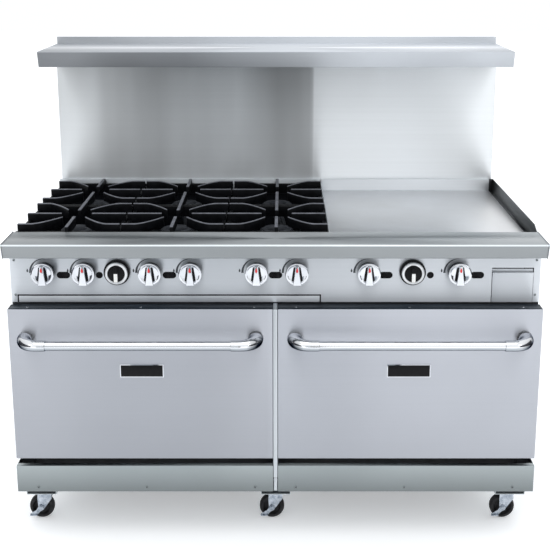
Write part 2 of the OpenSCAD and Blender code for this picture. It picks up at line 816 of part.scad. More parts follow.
module fork_legs(trail, axle_out) {
    for (s = [-1, 1])
        translate([0, s * (fork_gap + fork_t / 2) + fork_t / 2, 0])
            rotate([90, 0, 0]) linear_extrude(fork_t) leg_2d(trail);
    translate([-trail, fork_gap + fork_t + 3, wheel_r])
        rotate([90, 0, 0]) cylinder(r = axle_r, h = 2 * (fork_gap + fork_t) + 3 + axle_out);
}

module caster_fork(x) {
    lever_room = 7;
    color(zinc)
        translate([x, dp(caster_front), 0]) {
            difference() {
                union() {
                    translate([-22, -fork_gap - fork_t, crown_z - fork_t])
                        cube([42, 2 * (fork_gap + fork_t), fork_t]);
                    translate([0, 0, crown_z - 0.5]) cylinder(r = 20, h = 4.5);
                }
                translate([0, 0, crown_z - 10]) cylinder(r = kingpin_r + run_fit, h = 30);
            }
            fork_legs(caster_trail, lever_room);
            translate([-caster_trail, -fork_gap - fork_t - lever_room + 3, wheel_r])
                rotate([90, 0, 0]) cylinder(r = 7, h = 4);
        }
}
module caster_fork_left() caster_fork(caster_xs[0]);
module caster_fork_centre() caster_fork(caster_xs[1]);
module caster_fork_right() caster_fork(caster_xs[2]);

module brake_lever(x) {
    color(zinc)
        translate([x - caster_trail, dp(caster_front) - fork_gap - fork_t - 0.5, wheel_r])
            rotate([90, 0, 0])
                difference() {
                    union() {
                        cylinder(r = 10, h = 3);
                        linear_extrude(3)
                            polygon([[-8, 0], [0, -8], [-20, -24], [-34, -27], [-36, -20]]);
                    }
                    translate([0, 0, -cut]) cylinder(r = axle_r + run_fit, h = 3 + 2 * cut);
                }
}
module brake_lever_left() brake_lever(caster_xs[0]);
module brake_lever_centre() brake_lever(caster_xs[1]);
module brake_lever_right() brake_lever(caster_xs[2]);

module caster_mounts() {
    color(zinc) {
        for (x = caster_xs)
            translate([x, dp(caster_front), 0]) {
                translate([-40, -28, caster_h - 4 - weld]) cube([80, 56, 4]);
                translate([0, 0, crown_z + 4.5]) cylinder(r = 18, h = caster_h - crown_z - 8);
                translate([0, 0, crown_z - 5]) cylinder(r = kingpin_r, h = 14);
                translate([0, 0, crown_z - 7]) cylinder(r = 8, h = 4, $fn = 6);
            }
        for (x = caster_xs)
            translate([x, dp(caster_rear), 0]) {
                translate([-40, -28, caster_h - 4 - weld]) cube([80, 56, 4]);
                rotate([0, 0, 90]) {
                    fork_legs(0, 3);
                    translate([-22, -fork_gap - fork_t, crown_z - fork_t])
                        cube([42, 2 * (fork_gap + fork_t), caster_h - 4 - crown_z + fork_t]);
                }
            }
    }
}

module front_wheel(x) {
    color(black) translate([x - caster_trail, dp(caster_front), wheel_r]) wheel_shape();
}
module rear_wheel(x) {
    color(black) translate([x, dp(caster_rear), wheel_r]) rotate([0, 0, 90]) wheel_shape();
}
module wheel_front_left() front_wheel(caster_xs[0]);
module wheel_front_centre() front_wheel(caster_xs[1]);
module wheel_front_right() front_wheel(caster_xs[2]);
module wheel_rear_left() rear_wheel(caster_xs[0]);
module wheel_rear_centre() rear_wheel(caster_xs[1]);
module wheel_rear_right() rear_wheel(caster_xs[2]);

// ---------------------------------------------------------------- fasteners

module screw(x, d, z) {
    facing(x, d, z)
        rotate_extrude()
            polygon([[0, 0], [4, 0], [3.6, 1.4], [2, 2.4], [0, 2.8]]);
}

module panel_screws() {
    color(chrome) {
        for (s = [-1, 1], z = [742, 846])
            screw(s * (half_w - 12), panel_back, z);
        for (s = [-1, 1], x = [60, 380, 700])
            screw(s * x, kick_front, base_z + 14);
    }
}

chassis_frame();
side_panel_left();
side_panel_right();
rear_panel();
front_rail();
control_panel();
burner_box();
griddle();
gas_manifold();
gas_valves();
top_burners();
tube_burners();
oven_liner_left();
oven_liner_right();
kick_panels();
backguard();
high_shelf();
gas_inlet();
panel_screws();
caster_mounts();
door_skin_left();
door_liner_left();
handle_left();
nameplate_left();
door_skin_right();
door_liner_right();
handle_right();
nameplate_right();
gas_knob_1();
gas_knob_2();
gas_knob_3();
gas_knob_4();
gas_knob_5();
gas_knob_6();
gas_knob_7();
gas_knob_8();
oven_dial_left();
oven_dial_right();
crumb_tray();
grease_drawer();
oven_rack_left();
oven_rack_right();
grate_front_1();
grate_front_2();
grate_front_3();
grate_rear_1();
grate_rear_2();
grate_rear_3();
caster_fork_left();
caster_fork_centre();
caster_fork_right();
brake_lever_left();
brake_lever_centre();
brake_lever_right();
wheel_front_left();
wheel_front_centre();
wheel_front_right();
wheel_rear_left();
wheel_rear_centre();
wheel_rear_right();
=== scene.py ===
"""A restaurant gas range with six open burners, a griddle, two ovens, a backguard and a high shelf."""
import json
import math

import bmesh
import bpy
from mathutils import Matrix, Vector


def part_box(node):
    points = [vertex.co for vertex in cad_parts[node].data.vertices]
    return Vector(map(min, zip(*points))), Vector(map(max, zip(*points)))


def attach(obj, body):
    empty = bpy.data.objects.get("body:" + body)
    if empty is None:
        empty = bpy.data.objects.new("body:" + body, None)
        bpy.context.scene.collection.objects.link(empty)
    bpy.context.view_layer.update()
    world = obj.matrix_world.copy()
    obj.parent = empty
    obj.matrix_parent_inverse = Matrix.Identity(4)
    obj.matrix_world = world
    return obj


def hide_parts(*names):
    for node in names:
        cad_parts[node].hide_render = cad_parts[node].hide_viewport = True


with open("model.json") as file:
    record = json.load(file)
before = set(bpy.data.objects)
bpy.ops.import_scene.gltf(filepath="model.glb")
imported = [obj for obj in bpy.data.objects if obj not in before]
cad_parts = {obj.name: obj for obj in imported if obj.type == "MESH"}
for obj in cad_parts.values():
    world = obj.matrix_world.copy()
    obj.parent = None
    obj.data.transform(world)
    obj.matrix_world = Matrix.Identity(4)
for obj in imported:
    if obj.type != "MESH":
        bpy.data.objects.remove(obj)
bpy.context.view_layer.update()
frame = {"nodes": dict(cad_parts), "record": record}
scene = bpy.context.scene

# ------------------------------------------------------------------ studio
# A pale seamless floor and a white room, with soft boxes above and at the sides.
# The flags are dark cloths behind the camera and at the sides. They only show as reflections in the steel.
ROOM_WHITE = (0.97, 0.985, 1.0, 1.0)


def add_sweep(name, size, place, turn, colour, glow=0.0):
    mesh = bmesh.new()
    bmesh.ops.create_grid(mesh, x_segments=1, y_segments=1, size=0.5)
    bmesh.ops.scale(mesh, vec=(size[0], size[1], 1), verts=mesh.verts)
    data = bpy.data.meshes.new(name)
    mesh.to_mesh(data)
    mesh.free()
    card = bpy.data.objects.new(name, data)
    card.location = place
    card.rotation_euler = [math.radians(a) for a in turn]
    scene.collection.objects.link(card)
    cloth = bpy.data.materials.new(name)
    cloth.use_nodes = True
    shader = cloth.node_tree.nodes["Principled BSDF"]
    shader.inputs["Base Color"].default_value = (*colour, 1)
    shader.inputs["Roughness"].default_value = 0.7
    shader.inputs["Emission Color"].default_value = (*colour, 1)
    shader.inputs["Emission Strength"].default_value = glow
    data.materials.append(cloth)
    return card


def add_flag(name, size, place, turn, colour):
    flag = add_sweep(name, size, place, turn, colour)
    flag.visible_camera = False
    flag.visible_diffuse = False
    flag.visible_shadow = False


def add_soft_box(name, size, place, aim, power):
    lamp = bpy.data.lights.new(name, "AREA")
    lamp.shape = "RECTANGLE"
    lamp.size, lamp.size_y = size
    lamp.energy = power
    box = bpy.data.objects.new(name, lamp)
    box.location = place
    box.rotation_euler = (Vector(aim) - Vector(place)).to_track_quat("-Z", "Y").to_euler()
    scene.collection.objects.link(box)


add_sweep("floor", (40, 40), (0, 0, 0), (0, 0, 0), (0.90, 0.91, 0.92), 0.35)
add_flag("flag_left", (1.66, 2.2), (-0.95, -4.4, 0.4), (90, 0, 0), (0.32, 0.35, 0.38))
add_flag("flag_middle", (0.40, 2.2), (0.08, -4.35, 0.4), (90, 0, 0), (0.02, 0.03, 0.04))
add_flag("flag_side_left", (3.8, 1.4), (-2.7, -1.3, 0.70), (90, 0, 90), (0.05, 0.05, 0.06))
add_flag("flag_side_right", (3.8, 1.4), (2.7, -1.3, 0.70), (90, 0, 90), (0.05, 0.05, 0.06))
add_soft_box("soft_box_top", (3.4, 2.2), (0, -1.3, 3.3), (0, 0, 0.8), 26)
add_soft_box("soft_box_left", (1.0, 2.2), (-3.0, -3.0, 1.9), (0, 0, 0.7), 6)
add_soft_box("soft_box_right", (1.0, 2.2), (3.0, -3.0, 1.9), (0, 0, 0.7), 6)
add_soft_box("soft_box_back", (3.0, 1.6), (0, 3.4, 2.6), (0, 0, 0.8), 10)

room = bpy.data.worlds.new("studio_room")
room.use_nodes = True
room.node_tree.nodes["Background"].inputs["Color"].default_value = ROOM_WHITE
room.node_tree.nodes["Background"].inputs["Strength"].default_value = 1.03
scene.world = room
scene.view_settings.view_transform = "Standard"

lens = bpy.data.cameras.new("camera")
lens.sensor_width = 36
lens.lens = 68.49
lens.shift_x = -0.0147
lens.shift_y = -0.1407
PITCH = 13.20
camera = bpy.data.objects.new("camera", lens)
camera.location = (0.0224, -3.2180, 1.7053)
camera.rotation_euler = (math.radians(90 - PITCH), 0, 0)
scene.collection.objects.link(camera)
scene.camera = camera


# ------------------------------------------------------------------ finishes of the sheet metal
# The casings are stainless sheet with a long brushed grain. A dim mask darkens part of a casing as painted
# shade and painted reflection.
# Sum wraps a shader socket so that masks can be written as arithmetic.
class Sum:
    def __init__(self, finish, socket):
        self.finish = finish
        self.socket = socket

    def _with(self, operation, first, second):
        sockets = [getattr(v, "socket", v) for v in (first, second)]
        return self.finish.node("ShaderNodeMath", {"operation": operation}, {0: sockets[0], 1: sockets[1]})

    def __add__(self, other):
        return self._with("ADD", self, other)

    def __sub__(self, other):
        return self._with("SUBTRACT", self, other)

    def __mul__(self, other):
        return self._with("MULTIPLY", self, other)

    def __rsub__(self, other):
        return self._with("SUBTRACT", other, self)

    def __pow__(self, other):
        return self._with("POWER", self, other)

    def __gt__(self, other):
        return self._with("GREATER_THAN", self, other)

    __radd__ = __add__
    __rmul__ = __mul__


class Finish:
    """A material in the making: node() adds one shader node, and the other methods are short forms of it."""

    def __init__(self, name, **constants):
        self.material = bpy.data.materials.new(name)
        self.material.use_nodes = True
        self.tree = self.material.node_tree
        self.shader = self.tree.nodes["Principled BSDF"]
        for label, value in constants.items():
            self.shader.inputs[label.replace("_", " ")].default_value = value
        self.place = self.node("ShaderNodeTexCoord", output="Object")

    def node(self, kind, settings=None, inputs=None, output=0):
        made = self.tree.nodes.new(kind)
        for label, value in (settings or {}).items():
            if label == "stops":
                ramp = made.color_ramp.elements
                while len(ramp) < len(value):
                    ramp.new(0.5)
                for stop, (position, colour) in zip(ramp, value):
                    stop.position = position
                    stop.color = (*colour, 1)
            else:
                setattr(made, label, value)
        for label, value in (inputs or {}).items():
            value = getattr(value, "socket", value)
            if isinstance(value, bpy.types.NodeSocket):
                self.tree.links.new(value, made.inputs[label])
            else:
                made.inputs[label].default_value = value
        return Sum(self, made.outputs[output])

    def stretched(self, scale, place=(0, 0, 0)):
        return self.node("ShaderNodeMapping",
                         inputs={"Vector": self.place, "Scale": scale, "Location": place})

    def along(self, axis):
        return self.node("ShaderNodeSeparateXYZ", inputs={"Vector": self.place}, output=axis)

    def noise(self, scale, size=1.0, detail=2.0, rough=0.5):
        return self.node("ShaderNodeTexNoise", inputs={
            "Vector": self.stretched(scale), "Scale": size, "Detail": detail, "Roughness": rough})

    def ramp(self, mask, *stops):
        return self.node("ShaderNodeValToRGB", {"stops": stops}, {"Fac": mask})

    def clamp(self, value):
        return self.node("ShaderNodeClamp", inputs={"Value": value})

    def mix(self, mask, first, second):
        return self.node("ShaderNodeMix", {"data_type": "RGBA"}, {0: mask, 6: first, 7: second}, output=2)

    def bump(self, height, strength, distance):
        return self.node("ShaderNodeBump",
                         inputs={"Strength": strength, "Distance": distance, "Height": height})

    def feed(self, **sockets):
        for label, value in sockets.items():
            self.tree.links.new(value.socket, self.shader.inputs[label.replace("_", " ")])
        return self.material


def shade(colour, amount):
    return (*[c * amount for c in colour], 1)


def brushed(name, tint, roughness, grain=(3, 900, 900), contrast=0.06, relief=0.02, dim=None, darkest=0.40):
    """Brushed stainless: fine scratches along the axis whose scale is small, and a few wiping marks."""
    steel = Finish(name, Metallic=1.0, Anisotropic=0.95, Anisotropic_Rotation=0.25)
    fine = steel.noise(grain, detail=3.0, rough=0.7)
    broad = steel.noise(tuple(g / 9 for g in grain), detail=2.0)
    smear = steel.noise((1.6, 2.1, 1.3), size=1.7, detail=4.0, rough=0.6)
    streaks = fine * 0.6 + broad * 0.4
    colour = steel.mix(steel.clamp(streaks * 1.6 - 0.3), shade(tint, 1 - contrast),
                       shade(tint, 1 + contrast * 0.6))
    colour = steel.mix(smear ** 3.0, colour, shade(tint, 0.94))
    # The dim mask mixes towards the darkest tint: painted shade and painted reflection.
    if dim:
        colour = steel.mix(steel.clamp(dim(steel)), colour, shade(tint, darkest))
    return steel.feed(
        Base_Color=colour,
        Roughness=steel.clamp(roughness + (streaks - 0.5) * 0.10 + (smear - 0.5) * 0.06),
        Normal=steel.bump(fine, relief, 0.0004))


# The steels of the parts get tints of their own, lighter or darker by how light falls on each part: lit and
# shaded copies of one steel.
STEEL_TINT = (0.60, 0.635, 0.665)
steel_long = brushed("stainless_long_grain", STEEL_TINT, 0.42)
steel_up = brushed("stainless_upright_grain", STEEL_TINT, 0.34, grain=(900, 900, 3))
steel_deep = brushed("stainless_side_grain", STEEL_TINT, 0.36, grain=(900, 3, 900))


# ------------------------------------------------------------------ base frame
# Square steel tube welded into a base with posts at the front and the back.
# It is coloured near black above the caster rails, as painted shade in the gaps between the panels; the
# caster rails at the bottom are bare metal.
def add_block(mesh, low, high, edge=0.0008, segments=2):
    """A block with rounded edges, between two corners."""
    low, high = Vector(low), Vector(high)
    made = bmesh.ops.create_cube(mesh, size=1)["verts"]
    bmesh.ops.scale(mesh, vec=high - low, verts=made)
    bmesh.ops.translate(mesh, vec=(low + high) / 2, verts=made)
    edge = min(edge, min(high - low) * 0.45)
    edges = list({e for v in made for e in v.link_edges})
    bmesh.ops.bevel(mesh, geom=edges, offset=edge, segments=segments, profile=0.5, affect="EDGES",
                    material=-1)


def finish_piece(name, mesh, body, finish, nodes=(), sharp=32):
    """Makes the bmesh a piece that rides on a body, and hides the CAD nodes that it stands for."""
    bmesh.ops.remove_doubles(mesh, verts=mesh.verts, dist=1e-6)
    bmesh.ops.recalc_face_normals(mesh, faces=mesh.faces)
    for face in mesh.faces:
        face.smooth = True
    for edge in mesh.edges:
        edge.smooth = edge.calc_face_angle(0) < math.radians(sharp)
    data = bpy.data.meshes.new(name)
    mesh.to_mesh(data)
    mesh.free()
    made = bpy.data.objects.new(name, data)
    scene.collection.objects.link(made)
    data.materials.append(finish)
    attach(made, body)
    if nodes:
        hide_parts(*nodes)
    return made


def coat(node, finish):
    """Gives a CAD node that is shown as it is a finish."""
    data = frame["nodes"][node].data
    data.materials.clear()
    data.materials.append(finish)


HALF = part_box("control_panel")[1].x
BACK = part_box("backguard")[1].y
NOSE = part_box("front_rail")[0].y
BARE_BELOW = 0.1525
frame_painted_shade = Finish("frame_painted_shade")
runs = frame_painted_shade.noise((1, 1, 1), size=40, detail=4)
bare = frame_painted_shade.clamp((BARE_BELOW - frame_painted_shade.along(2)) * 900)
black = frame_painted_shade.ramp(runs, (0.3, (0.006, 0.007, 0.009)), (0.8, (0.016, 0.018, 0.022)))
frame_painted_shade = frame_painted_shade.feed(
    Base_Color=frame_painted_shade.mix(bare, black, (0.50, 0.54, 0.56, 1)),
    Metallic=bare * 0.9, Roughness=frame_painted_shade.clamp(runs * 0.3 + 0.35))
coat("chassis_frame", frame_painted_shade)
divider = bmesh.new()
DOOR_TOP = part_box("door_skin_left")[1].z
DIVIDER_HALF = 0.0063
add_block(divider, (-DIVIDER_HALF, NOSE + 0.0255, 0.195), (DIVIDER_HALF, NOSE + 0.084, DOOR_TOP + 0.0005),
          0.0015, 3)
add_block(divider, (-0.0053, NOSE + 0.0295, 0.1512), (0.0053, NOSE + 0.0965, 0.1945), 0.001)
finish_piece("centre_divider", divider, "range_body", steel_up)


# ------------------------------------------------------------------ casters
# Wheels of black rubber on a moulded core, in pressed and zinc-plated forks.
# The front three swivel on a kingpin and have a foot brake; the rear three are rigid.
def add_lathe(mesh, outline, centre=(0, 0, 0), axis="Z", steps=48):
    """Turns an outline of (radius, height) points about an axis through centre."""
    turned = bmesh.new()
    points = [turned.verts.new((r, 0, h)) for r, h in outline]
    edges = [turned.edges.new(pair) for pair in zip(points, points[1:])]
    bmesh.ops.spin(turned, geom=points + edges, cent=(0, 0, 0), axis=(0, 0, 1), angle=math.tau,
                   steps=steps, use_merge=True, use_duplicate=False)
    bmesh.ops.remove_doubles(turned, verts=turned.verts, dist=1e-6)
    turn = {"X": Matrix.Rotation(math.pi / 2, 4, "Y"), "Y": Matrix.Rotation(math.pi / 2, 4, "X"),
            "Z": Matrix.Identity(4)}[axis]
    turned.transform(Matrix.Translation(centre) @ turn)
    merge(mesh, turned)


def merge(mesh, other):
    """Moves all of another bmesh into this one."""
    bmesh.ops.recalc_face_normals(other, faces=other.faces)
    carried = bpy.data.meshes.new("carried")
    other.to_mesh(carried)
    other.free()
    mesh.from_mesh(carried)
    bpy.data.meshes.remove(carried)


def add_plate(mesh, outline, thickness, matrix, edge=0.0006, segments=2):
    """A flat plate, outlined in its own X and Y and thick along its own Z, placed by a matrix."""
    plate = bmesh.new()
    face = plate.faces.new([plate.verts.new((x, y, 0)) for x, y in outline])
    lifted = bmesh.ops.extrude_face_region(plate, geom=[face])["geom"]
    bmesh.ops.translate(plate, vec=(0, 0, thickness),
                        verts=[v for v in lifted if isinstance(v, bmesh.types.BMVert)])
    bmesh.ops.recalc_face_normals(plate, faces=plate.faces)
    if edge:
        rims = [e for e in plate.edges if e.calc_face_angle(0) > math.radians(20)]
        bmesh.ops.bevel(plate, geom=rims, offset=edge, segments=segments, profile=0.5, affect="EDGES",
                        material=-1)
    plate.transform(matrix)
    merge(mesh, plate)


def facing(x, y, z):
    """Own X to the right and own Y up, with own Z out of the front."""
    return Matrix.Translation((x, y, z)) @ Matrix.Rotation(math.pi / 2, 4, "X")


def sideways(x, y, z):
    """Own X to the back and own Y up, with own Z to the right."""
    return (Matrix.Translation((x, y, z)) @ Matrix.Rotation(math.pi / 2, 4, "Z")
            @ Matrix.Rotation(math.pi / 2, 4, "X"))


def mottled(name, size, dark, light, detail=4, rough=0.5, gloss=None, relief=None, **constants):
    """One noise runs the colour from dark to light, and may vary the roughness and lift a fine relief."""
    made = Finish(name, **constants)
    cloud = made.noise((1, 1, 1), size=size, detail=detail, rough=rough)
    fed = {"Base_Color": made.ramp(cloud, dark, light)}
    if gloss:
        fed["Roughness"] = made.clamp(cloud * gloss[0] + gloss[1])
    if relief:
        fed["Normal"] = made.bump(cloud, *relief)
    return made.feed(**fed)


rubber = mottled("wheel_rubber", 60, (0.35, (0.006, 0.006, 0.007)), (0.75, (0.03, 0.03, 0.032)), detail=5,
                 gloss=(0.4, 0.35), relief=(0.15, 0.0006), Specular_IOR_Level=0.2)
zinc = mottled("zinc_plate", 90, (0.3, (0.24, 0.28, 0.33)), (0.7, (0.56, 0.60, 0.66)), detail=3,
               gloss=(0.25, 0.15), relief=(0.08, 0.0005), Metallic=1.0)

WHEEL_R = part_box("wheel_front_left")[1].z / 2
AXLE_Z = WHEEL_R
TRAIL = 0.012
TYRE = [(0.026, -0.009), (0.027, -0.0118), (0.030, -0.013), (0.034, -0.0122), (WHEEL_R - 0.0012, -0.009),
        (WHEEL_R, -0.005), (WHEEL_R, 0.005), (WHEEL_R - 0.0012, 0.009), (0.034, 0.0122), (0.030, 0.013),
        (0.027, 0.0118), (0.026, 0.009), (0.026, -0.009)]
HUB = [(0.0042, -0.013), (0.011, -0.013), (0.0125, -0.0115), (0.0135, -0.005), (0.023, -0.004),
       (0.0262, -0.0085), (0.0262, 0.0085), (0.023, 0.004), (0.0135, 0.005), (0.0125, 0.0115),
       (0.011, 0.013), (0.0042, 0.013), (0.0042, -0.013)]
for row, axis in (("front", "Y"), ("rear", "X")):
    for side in ("left", "centre", "right"):
        node = f"wheel_{row}_{side}"
        low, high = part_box(node)
        hub_place = (low + high) / 2
        tyre = bmesh.new()
        add_lathe(tyre, TYRE, hub_place, axis, steps=64)
        finish_piece(f"tyre_{row}_{side}", tyre, node, rubber, [node])
        hub = bmesh.new()
        add_lathe(hub, HUB, hub_place, axis, steps=40)
        finish_piece(f"hub_{row}_{side}", hub, node, rubber)


def leg_outline(trail, top):
    """One fork leg: broad under the crown and round at the axle."""
    round_end = [(-trail + 0.010 * math.cos(a), AXLE_Z + 0.010 * math.sin(a))
                 for a in [math.radians(-20 - i * 20) for i in range(8)]]
    return [(0.020, top), (0.021, top - 0.016)] + round_end + [(-0.023, top - 0.018), (-0.022, top)]


def add_fork(mesh, place, trail, top, turned):
    """Two legs and a crown, with the axle's nut and head."""
    turn = Matrix.Rotation(math.pi / 2, 4, "Z") if turned else Matrix()
    own = Matrix.Translation((place.x, place.y, 0)) @ turn
    for y in (0.0145, -0.017):
        add_plate(mesh, leg_outline(trail, top), 0.0025, own @ facing(0, y + 0.0025, 0), 0.0007)
    crown = bmesh.new()
    add_block(crown, (-0.022, -0.017, top - 0.003), (0.020, 0.017, top), 0.001)
    add_lathe(crown, [(0.004, -0.020), (0.004, 0.0195), (0.0075, 0.0195), (0.0075, 0.0175),
                      (0.004, 0.0175)],
              (-trail, 0, AXLE_Z), "Y", 24)
    crown.transform(own)
    merge(mesh, crown)


FORK_TOP = 0.084
for side in ("left", "centre", "right"):
    node = f"caster_fork_{side}"
    low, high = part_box(node)
    swivel = Vector((high.x - 0.020,
                     (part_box(f"wheel_front_{side}")[0].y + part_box(f"wheel_front_{side}")[1].y) / 2, 0))
    fork = bmesh.new()
    add_fork(fork, swivel, TRAIL, FORK_TOP, False)
    add_lathe(fork, [(0.0051, 0.081), (0.0051, 0.088), (0.016, 0.0881), (0.0195, 0.0865), (0.0205, 0.084),
                     (0.0195, 0.082), (0.016, 0.081), (0.0051, 0.081)], (swivel.x, swivel.y, 0), "Z", 40)
    add_lathe(fork, [(0, 0.0205), (0.0055, 0.0205), (0.0068, 0.0216), (0.0068, 0.0238), (0.0045, 0.025),
                     (0, 0.0252)],
              (swivel.x - TRAIL, swivel.y, AXLE_Z), "Y", 6)
    finish_piece(node + "_pressing", fork, node, zinc, [node])

    lever = bmesh.new()
    front = facing(swivel.x - TRAIL, swivel.y - 0.0175, AXLE_Z)
    add_plate(lever, [(0.0085, 0.004), (0.004, 0.0085), (-0.004, 0.009), (-0.009, 0.003), (-0.015, -0.007),
                      (-0.034, -0.019), (-0.036, -0.022), (-0.033, -0.026), (-0.021, -0.0245),
                      (-0.012, -0.0225), (-0.003, -0.012), (0.006, -0.007)], 0.0028, front, 0.0008)
    add_block(lever, (swivel.x - 0.047, swivel.y - 0.0245, 0.0125),
              (swivel.x - 0.024, swivel.y - 0.019, 0.0165), 0.0015)
    add_lathe(lever, [(0.0042, 0.0175), (0.0085, 0.0175), (0.009, 0.0190), (0.0085, 0.0212),
                      (0.0042, 0.0212), (0.0042, 0.0175)], (swivel.x - TRAIL, swivel.y, AXLE_Z), "Y", 32)
    finish_piece(f"brake_pedal_{side}", lever, f"brake_lever_{side}", zinc, [f"brake_lever_{side}"])

PLATE_LOW, PLATE_TOP, PLATE_HALF_X, PLATE_HALF_Y = 0.0968, 0.1008, 0.040, 0.028
BOLT_X, BOLT_Y = 0.031, 0.020
mounts = bmesh.new()
for row in ("front", "rear"):
    for side in ("left", "centre", "right"):
        low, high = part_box(f"wheel_{row}_{side}")
        middle = (low + high) / 2
        x = middle.x + (TRAIL if row == "front" else 0)
        add_block(mounts, (x - PLATE_HALF_X, middle.y - PLATE_HALF_Y, PLATE_LOW),
                  (x + PLATE_HALF_X, middle.y + PLATE_HALF_Y, PLATE_TOP), 0.0012)
        for bx in (-BOLT_X, BOLT_X):
            for by in (-BOLT_Y, BOLT_Y):
                add_lathe(mounts, [(0, 0.0925), (0.005, 0.0925), (0.0058, 0.0935), (0.0058, 0.097)],
                          (x + bx, middle.y + by, 0), "Z", 6)
        if row == "front":
            add_lathe(mounts, [(0.018, 0.097), (0.018, 0.0885), (0.016, 0.0884), (0.0049, 0.0884),
                               (0.0049, 0.081), (0.008, 0.081), (0.008, 0.077), (0, 0.0768)],
                      (x, middle.y, 0), "Z", 32)
        else:
            add_fork(mounts, Vector((x, middle.y, 0)), 0.0, 0.0965, True)
finish_piece("caster_plates", mounts, "range_body", zinc, ["caster_mounts"])


# ------------------------------------------------------------------ side, rear and kick panels
# Single stainless sheets with folded rims. The rear is galvanised sheet with cooling slots.
# The kick panels hide the base and are held by screws.
def add_section(mesh, outline, low_x, high_x, fold=0.0012, segments=3):
    """A folded section, drawn as (y, z) points, run along X with rounded folds."""
    add_plate(mesh, outline, high_x - low_x, sideways(low_x, 0, 0), fold, segments)


SHEET, LEDGE_Z = 0.0015, 0.880
for side, sign in (("left", -1), ("right", 1)):
    low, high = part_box(f"side_panel_{side}")
    outer = HALF * sign
    skin = bmesh.new()
    rail_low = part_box("front_rail")[0].z
    rail_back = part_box("front_rail")[1].y
    add_section(skin, [(low.y, low.z), (high.y, low.z), (high.y, high.z), (high.y - 0.036, high.z),
                       (high.y - 0.036, LEDGE_Z), (rail_back + 0.001, LEDGE_Z),
                       (rail_back + 0.001, rail_low - 0.001), (low.y, rail_low - 0.001)],
                *sorted((outer, outer - sign * SHEET)), 0.0005, 2)
    flange = sorted((outer - sign * 0.0115, outer - sign * 0.0017))
    add_block(skin, (flange[0], NOSE + 0.146, 0.8785), (flange[1], NOSE + 0.804, LEDGE_Z), 0.0005)
    finish_piece(f"side_casing_{side}", skin, "range_body", steel_deep, [f"side_panel_{side}"])

galvanised = Finish("galvanised_sheet", Metallic=1.0)
flakes = galvanised.node("ShaderNodeTexVoronoi",
                         inputs={"Vector": galvanised.stretched((1, 1, 1)), "Scale": 70.0}, output="Color")
flake = galvanised.node("ShaderNodeSeparateColor", inputs={"Color": flakes})
galvanised = galvanised.feed(
    Base_Color=galvanised.ramp(flake, (0.0, (0.42, 0.44, 0.47)), (1.0, (0.62, 0.64, 0.67))),
    Roughness=galvanised.clamp(flake * 0.2 + 0.3))
coat("rear_panel", galvanised)

kick = bmesh.new()
low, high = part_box("kick_panels")
for sign in (-1, 1):
    inner, outer = sorted((sign * 0.007, sign * HALF))
    add_section(kick, [(low.y, low.z), (low.y, high.z), (low.y + 0.018, high.z),
                       (low.y + 0.018, high.z - SHEET), (low.y + SHEET, high.z - SHEET),
                       (low.y + SHEET, low.z + SHEET), (low.y + 0.018, low.z + SHEET),
                       (low.y + 0.018, low.z)], inner, outer, 0.0007)
    for edge, depth in ((sign * HALF, high.y), (sign * 0.007, high.y)):
        inside = edge - sign * SHEET if abs(edge) > 0.1 else edge + sign * SHEET
        add_block(kick, (min(edge, inside), low.y + 0.001, low.z), (max(edge, inside), depth, high.z),
                  0.0006)
# The kick steel is tinted darker than the other casings and painted darker still towards the bottom: painted
# shade.
steel_low = brushed("stainless_kick", (0.40, 0.44, 0.45), 0.36, dim=lambda s: (0.236 - s.along(2)) * 9)
finish_piece("kick_plates", kick, "range_body", steel_low, ["kick_panels"])

chrome = mottled("polished_chrome", 14, (0.3, (0.60, 0.62, 0.66)), (0.7, (0.72, 0.74, 0.77)),
                 gloss=(0.08, 0.05), Metallic=1.0, Coat_Weight=0.2)
# Black for holes, slots, grooves, cross recesses and gaps: painted shade where the openings go dark.
painted_shade_black = mottled("painted_shade_recess", 120, (0.3, (0.004, 0.004, 0.005)), (0.8, (0.02, 0.02, 0.022)),
                       detail=2, Roughness=0.6, Specular_IOR_Level=0.08)


def add_screw(heads, slots, x, y, z, radius=0.0042, up=False):
    """A domed screw head with a cross recess, facing out of the front or up."""
    dome = [(0, 0.0026), (radius * 0.35, 0.0025), (radius * 0.7, 0.0019), (radius * 0.95, 0.0008),
            (radius, 0)]
    turn = Matrix.Translation((x, y, z)) @ (Matrix() if up else Matrix.Rotation(math.pi / 2, 4, "X"))
    head = bmesh.new()
    add_lathe(head, dome, steps=24)
    head.transform(turn)
    merge(heads, head)
    # The cross recess is a black cross set in the head: painted shade.
    cross = bmesh.new()
    for across, along in ((0.0005, 0.55), (0.55, 0.0005)):
        half_x = across if across < 0.1 else radius * across
        half_y = along if along < 0.1 else radius * along
        add_block(cross, (-half_x, -half_y, 0.0015), (half_x, half_y, 0.0027), 0.0002, 1)
    cross.transform(turn)
    merge(slots, cross)


CASING_SCREW_R = 0.0038
heads, slots = bmesh.new(), bmesh.new()
panel_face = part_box("control_panel")[0].y
for sign in (-1, 1):
    for z in (0.742, 0.846):
        add_screw(heads, slots, sign * (HALF - 0.012), panel_face, z, CASING_SCREW_R)
    for x in (0.060, 0.380, 0.700):
        add_screw(heads, slots, sign * x, low.y, 0.165, CASING_SCREW_R)
finish_piece("casing_screws", heads, "range_body", steel_low, ["panel_screws"])
finish_piece("casing_screw_recesses", slots, "range_body", painted_shade_black)
